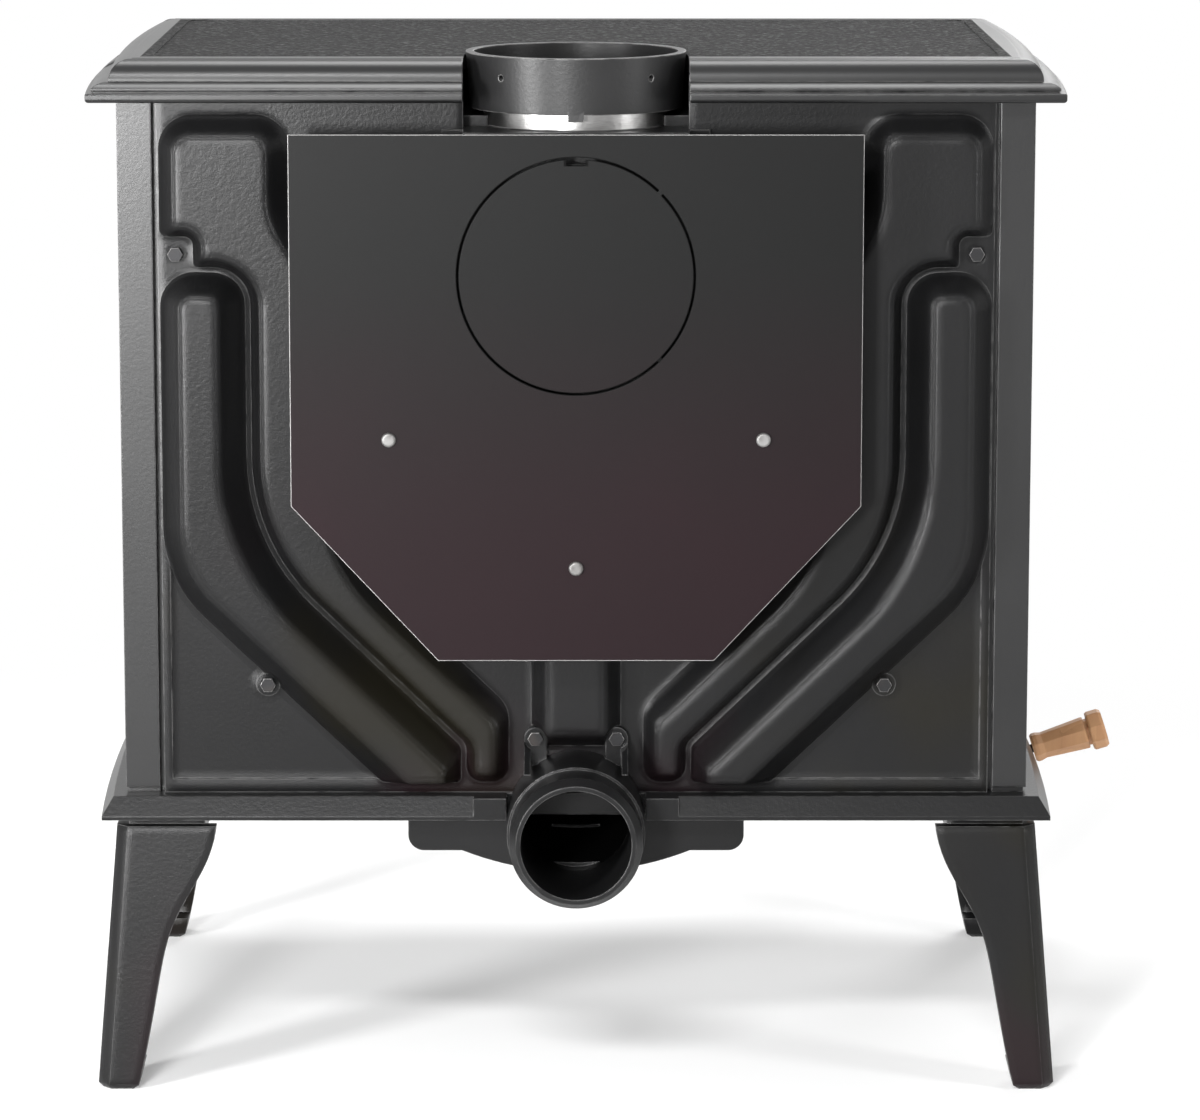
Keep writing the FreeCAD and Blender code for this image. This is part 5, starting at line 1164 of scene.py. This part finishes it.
@dataclass
class HeatShield:
    """The sheet behind the rear plate and what carries it."""

    dresser: Dresser
    screw_colour: Colour = (0.2, 0.198, 0.195)

    def dress(self, steel: bpy.types.Material) -> None:
        """Paints the sheet.

        Args:
            steel: the screws' finish.
        """
        low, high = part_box("flue_blank")
        sheet = SheetPaint(disc=(low + high) / 2).material()
        self.dresser.coat(sheet, "rear_shield")
        self.dresser.coat(steel, "shield_spacers")
        # pale grey screws whose edges are painted lighter, partly wear and partly a painted highlight
        self.dresser.coat(DarkSteel("wear_and_highlight_screws", self.screw_colour).material(), "shield_screws")


@dataclass
class AirControl:
    """The rod, the shutter and the wooden grip."""

    dresser: Dresser

    def dress(self, steel: bpy.types.Material) -> None:
        """Finishes the control.

        Args:
            steel: the rod's finish.
        """
        low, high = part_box("air_grip")
        grip = TurnedWood("grip_wood", Axis.TILTED, tuple((low + high) / 2)).material()
        self.dresser.coat(grip, "air_grip")
        self.dresser.coat(steel, "air_rod", "air_shutter")


@dataclass
class DoorAssembly:
    """The glazed door, its seals, hinges, latch and ash lip."""

    dresser: Dresser
    seal: bpy.types.Material
    rope_width: float = 0.009
    rope_corner: float = 0.006
    tape_width: float = 0.015

    def dress(self, paint: bpy.types.Material, steel: bpy.types.Material) -> None:
        """Finishes the door and models its seals.

        Args:
            paint: plain stove paint.
            steel: the metal fittings' finish.
        """
        self.dresser.coat(paint, "door_frame", "ash_lip", "door_handle")
        self.dresser.coat(CeramicGlass().material(), "door_glass")
        self.dresser.coat(steel, "glass_clips", "clip_screws", "hinge_pins", "latch_spindle", "latch_cam")
        self.dresser.coat(steel, "latch_keeper", "ash_lip_screws")
        low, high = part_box("door_grip")
        grip = TurnedWood("door_grip_wood", Axis.UPRIGHT, tuple((low + high) / 2)).material()
        self.dresser.coat(grip, "door_grip")
        rope = RopeSeal("door_rope_seal", "door_gasket", self.rope_width, self.rope_corner).build()
        self.dresser.swap(rope, "door_gasket", "door", self.seal)
        tape = FlatSeal("glass_tape_seal", "glass_gasket", self.tape_width).build()
        self.dresser.swap(tape, "glass_gasket", "door", self.seal)


@dataclass
class Firebox:
    """The inner skin, the bricks, the air tubes, the baffle and the log guard."""

    dresser: Dresser
    board_pale: Colour = (0.62, 0.60, 0.55)
    board_buff: Colour = (0.5, 0.47, 0.42)
    board_fleck: Colour = (0.42, 0.38, 0.32)

    def dress(self, paint: bpy.types.Material) -> None:
        """Finishes the firebox.

        Args:
            paint: plain stove paint.
        """
        brick = FireBrick().material()
        board = FireBrick(
            "baffle_board",
            pale=self.board_pale,
            buff=self.board_buff,
            iron=self.board_fleck,
        ).material()
        tube = HeatedSteel().material()
        sides = ("left", "right")
        self.dresser.coat(brick, "floor_bricks", "rear_bricks", *[f"side_bricks_{side}" for side in sides])
        self.dresser.coat(board, "baffle_boards")
        self.dresser.coat(tube, "secondary_tubes", *[f"tube_rail_{side}" for side in sides])
        self.dresser.coat(paint, "hearth_plate", "fireback", "log_guard")
        self.dresser.coat(paint, *[f"side_liner_{side}" for side in sides])


@dataclass(frozen=True)
class Softbox:
    """One rectangular lamp that looks at the stove."""

    name: str
    place: tuple[float, float, float]
    aim: tuple[float, float, float]
    size: tuple[float, float]
    power: float

    def light(self) -> None:
        """Hangs the lamp."""
        lamp = bpy.data.lights.new(self.name, "AREA")
        lamp.shape = "RECTANGLE"
        lamp.size, lamp.size_y = self.size
        lamp.energy = self.power
        holder = bpy.data.objects.new(self.name, lamp)
        bpy.context.scene.collection.objects.link(holder)
        holder.location = self.place
        way = Vector(self.aim) - Vector(self.place)
        holder.rotation_mode = "QUATERNION"
        holder.rotation_quaternion = way.to_track_quat("-Z", "Y")
        holder.visible_camera = False


@dataclass
class Studio:
    """The pale floor, the lamps, the white surround and the camera."""

    eye: tuple[float, float, float] = (0.0319, 3.8765, 1.083)
    aim: tuple[float, float, float] = (0.0319, 0.1965, 0.476)
    lens: float = 148.3
    sensor: float = 36.0
    shift: tuple[float, float] = (0.02, -0.075)
    far_clip: float = 200.0
    floor_reach: float = 40.0
    floor_colour: Colour = (0.78, 0.78, 0.78)
    floor_glow: float = 0.24
    bright_span: Span = (0.75, 1.5)
    fill: float = 0.1
    white: tuple[float, float, float, float] = (1.0, 1.0, 1.0, 1.0)
    lamps: tuple[Softbox, ...] = (
        Softbox("key_lamp", (1.0, 3.55, 0.85), (0.2, 0.2, 0.6), (0.45, 0.7), 112.0),
        Softbox("left_box", (1.85, 1.75, 0.62), (0.2, 0.2, 0.5), (0.34, 0.9), 74.0),
        Softbox("right_box", (-2.2, 1.2, 1.05), (0.0, 0.2, 0.5), (0.4, 1.3), 20.0),
        Softbox("high_lamp", (0.5, 2.5, 2.12), (0.1, 0.2, 0.7), (1.0, 0.28), 54.0),
        Softbox("top_lamp", (0.1, -0.5, 2.9), (0.0, 0.0, 0.4), (1.5, 1.0), 50.0),
        Softbox("front_lamp", (-1.2, -2.9, 2.35), (0.0, 0.0, 0.4), (1.4, 0.9), 38.0),
    )

    def build(self) -> None:
        """Sets up floor, world, lamps and camera."""
        self.lay_floor()
        self.fill_world()
        for lamp in self.lamps:
            lamp.light()
        self.set_camera()
        bpy.context.scene.view_settings.view_transform = "Standard"

    def seen(self, tint: Palette) -> Shade:
        """Whether a ray comes from the eye, a reflection or through glass."""
        path = tint.node("ShaderNodeLightPath", {}, {}, "Is Camera Ray")
        outputs = path.socket.node.outputs
        glossy = Shade(tint, outputs["Is Glossy Ray"])
        through = Shade(tint, outputs["Is Transmission Ray"])
        return path.larger(glossy.larger(through))

    def lay_floor(self) -> None:
        """Lays a pale floor that keeps the shadow and meets the white surround."""
        Workshop.clear()
        bpy.ops.mesh.primitive_grid_add(x_subdivisions=2, y_subdivisions=2, size=self.floor_reach)
        floor = bpy.context.object
        floor.name = "studio_floor"
        tint = Palette(bpy.data.materials.new("studio_floor"))
        far = tint.vector("LENGTH", tint.place(), out="Value").smooth(*self.bright_span)
        matt = tint.node("ShaderNodeBsdfDiffuse", {}, {"Color": (*self.floor_colour, 1.0)})
        glow = tint.node("ShaderNodeEmission", {}, {"Strength": self.seen(tint) * self.floor_glow})
        near = tint.node("ShaderNodeAddShader", {}, {0: matt, 1: glow})
        white = tint.node("ShaderNodeEmission", {}, {"Strength": 1.0})
        both = tint.node("ShaderNodeMixShader", {}, {0: self.seen(tint) * far, 1: near, 2: white})
        floor.data.materials.append(tint.end(both))

    def fill_world(self) -> None:
        """Makes the surround white to the eye and a soft fill to the stove."""
        world = bpy.data.worlds.new("studio_surround")
        bpy.context.scene.world = world
        tint = Palette(world, "ShaderNodeOutputWorld")
        sockets = {"Value": self.seen(tint), "To Min": self.fill, "To Max": 1.0}
        strength = tint.node("ShaderNodeMapRange", {}, sockets, "Result")
        tint.end(tint.node("ShaderNodeBackground", {}, {"Color": self.white, "Strength": strength}))

    def set_camera(self) -> None:
        """Stands the camera behind the stove, as in the photograph."""
        lens = bpy.data.cameras.new("camera")
        lens.lens = self.lens
        lens.sensor_width = self.sensor
        lens.shift_x, lens.shift_y = self.shift
        lens.clip_end = self.far_clip
        camera = bpy.data.objects.new("camera", lens)
        bpy.context.scene.collection.objects.link(camera)
        camera.location = self.eye
        way = Vector(self.aim) - Vector(self.eye)
        camera.rotation_mode = "QUATERNION"
        camera.rotation_quaternion = way.to_track_quat("-Z", "Y")
        bpy.context.scene.camera = camera


def main() -> None:
    """Dresses the stove and sets up the studio."""
    logging.basicConfig(level=logging.INFO, format="%(message)s")
    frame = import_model()
    Workshop.clear()
    dresser = Dresser(frame["nodes"])
    paint = StovePaint().material()
    steel = DarkSteel().material()
    seal = FibreRope().material()
    Studio().build()
    TopAssembly(dresser, seal).dress(paint, steel)
    BodyAssembly(dresser).dress(paint, steel)
    HeatShield(dresser).dress(steel)
    AirControl(dresser).dress(steel)
    DoorAssembly(dresser, seal).dress(paint, steel)
    Firebox(dresser).dress(paint)


if __name__ == "__main__":
    main()
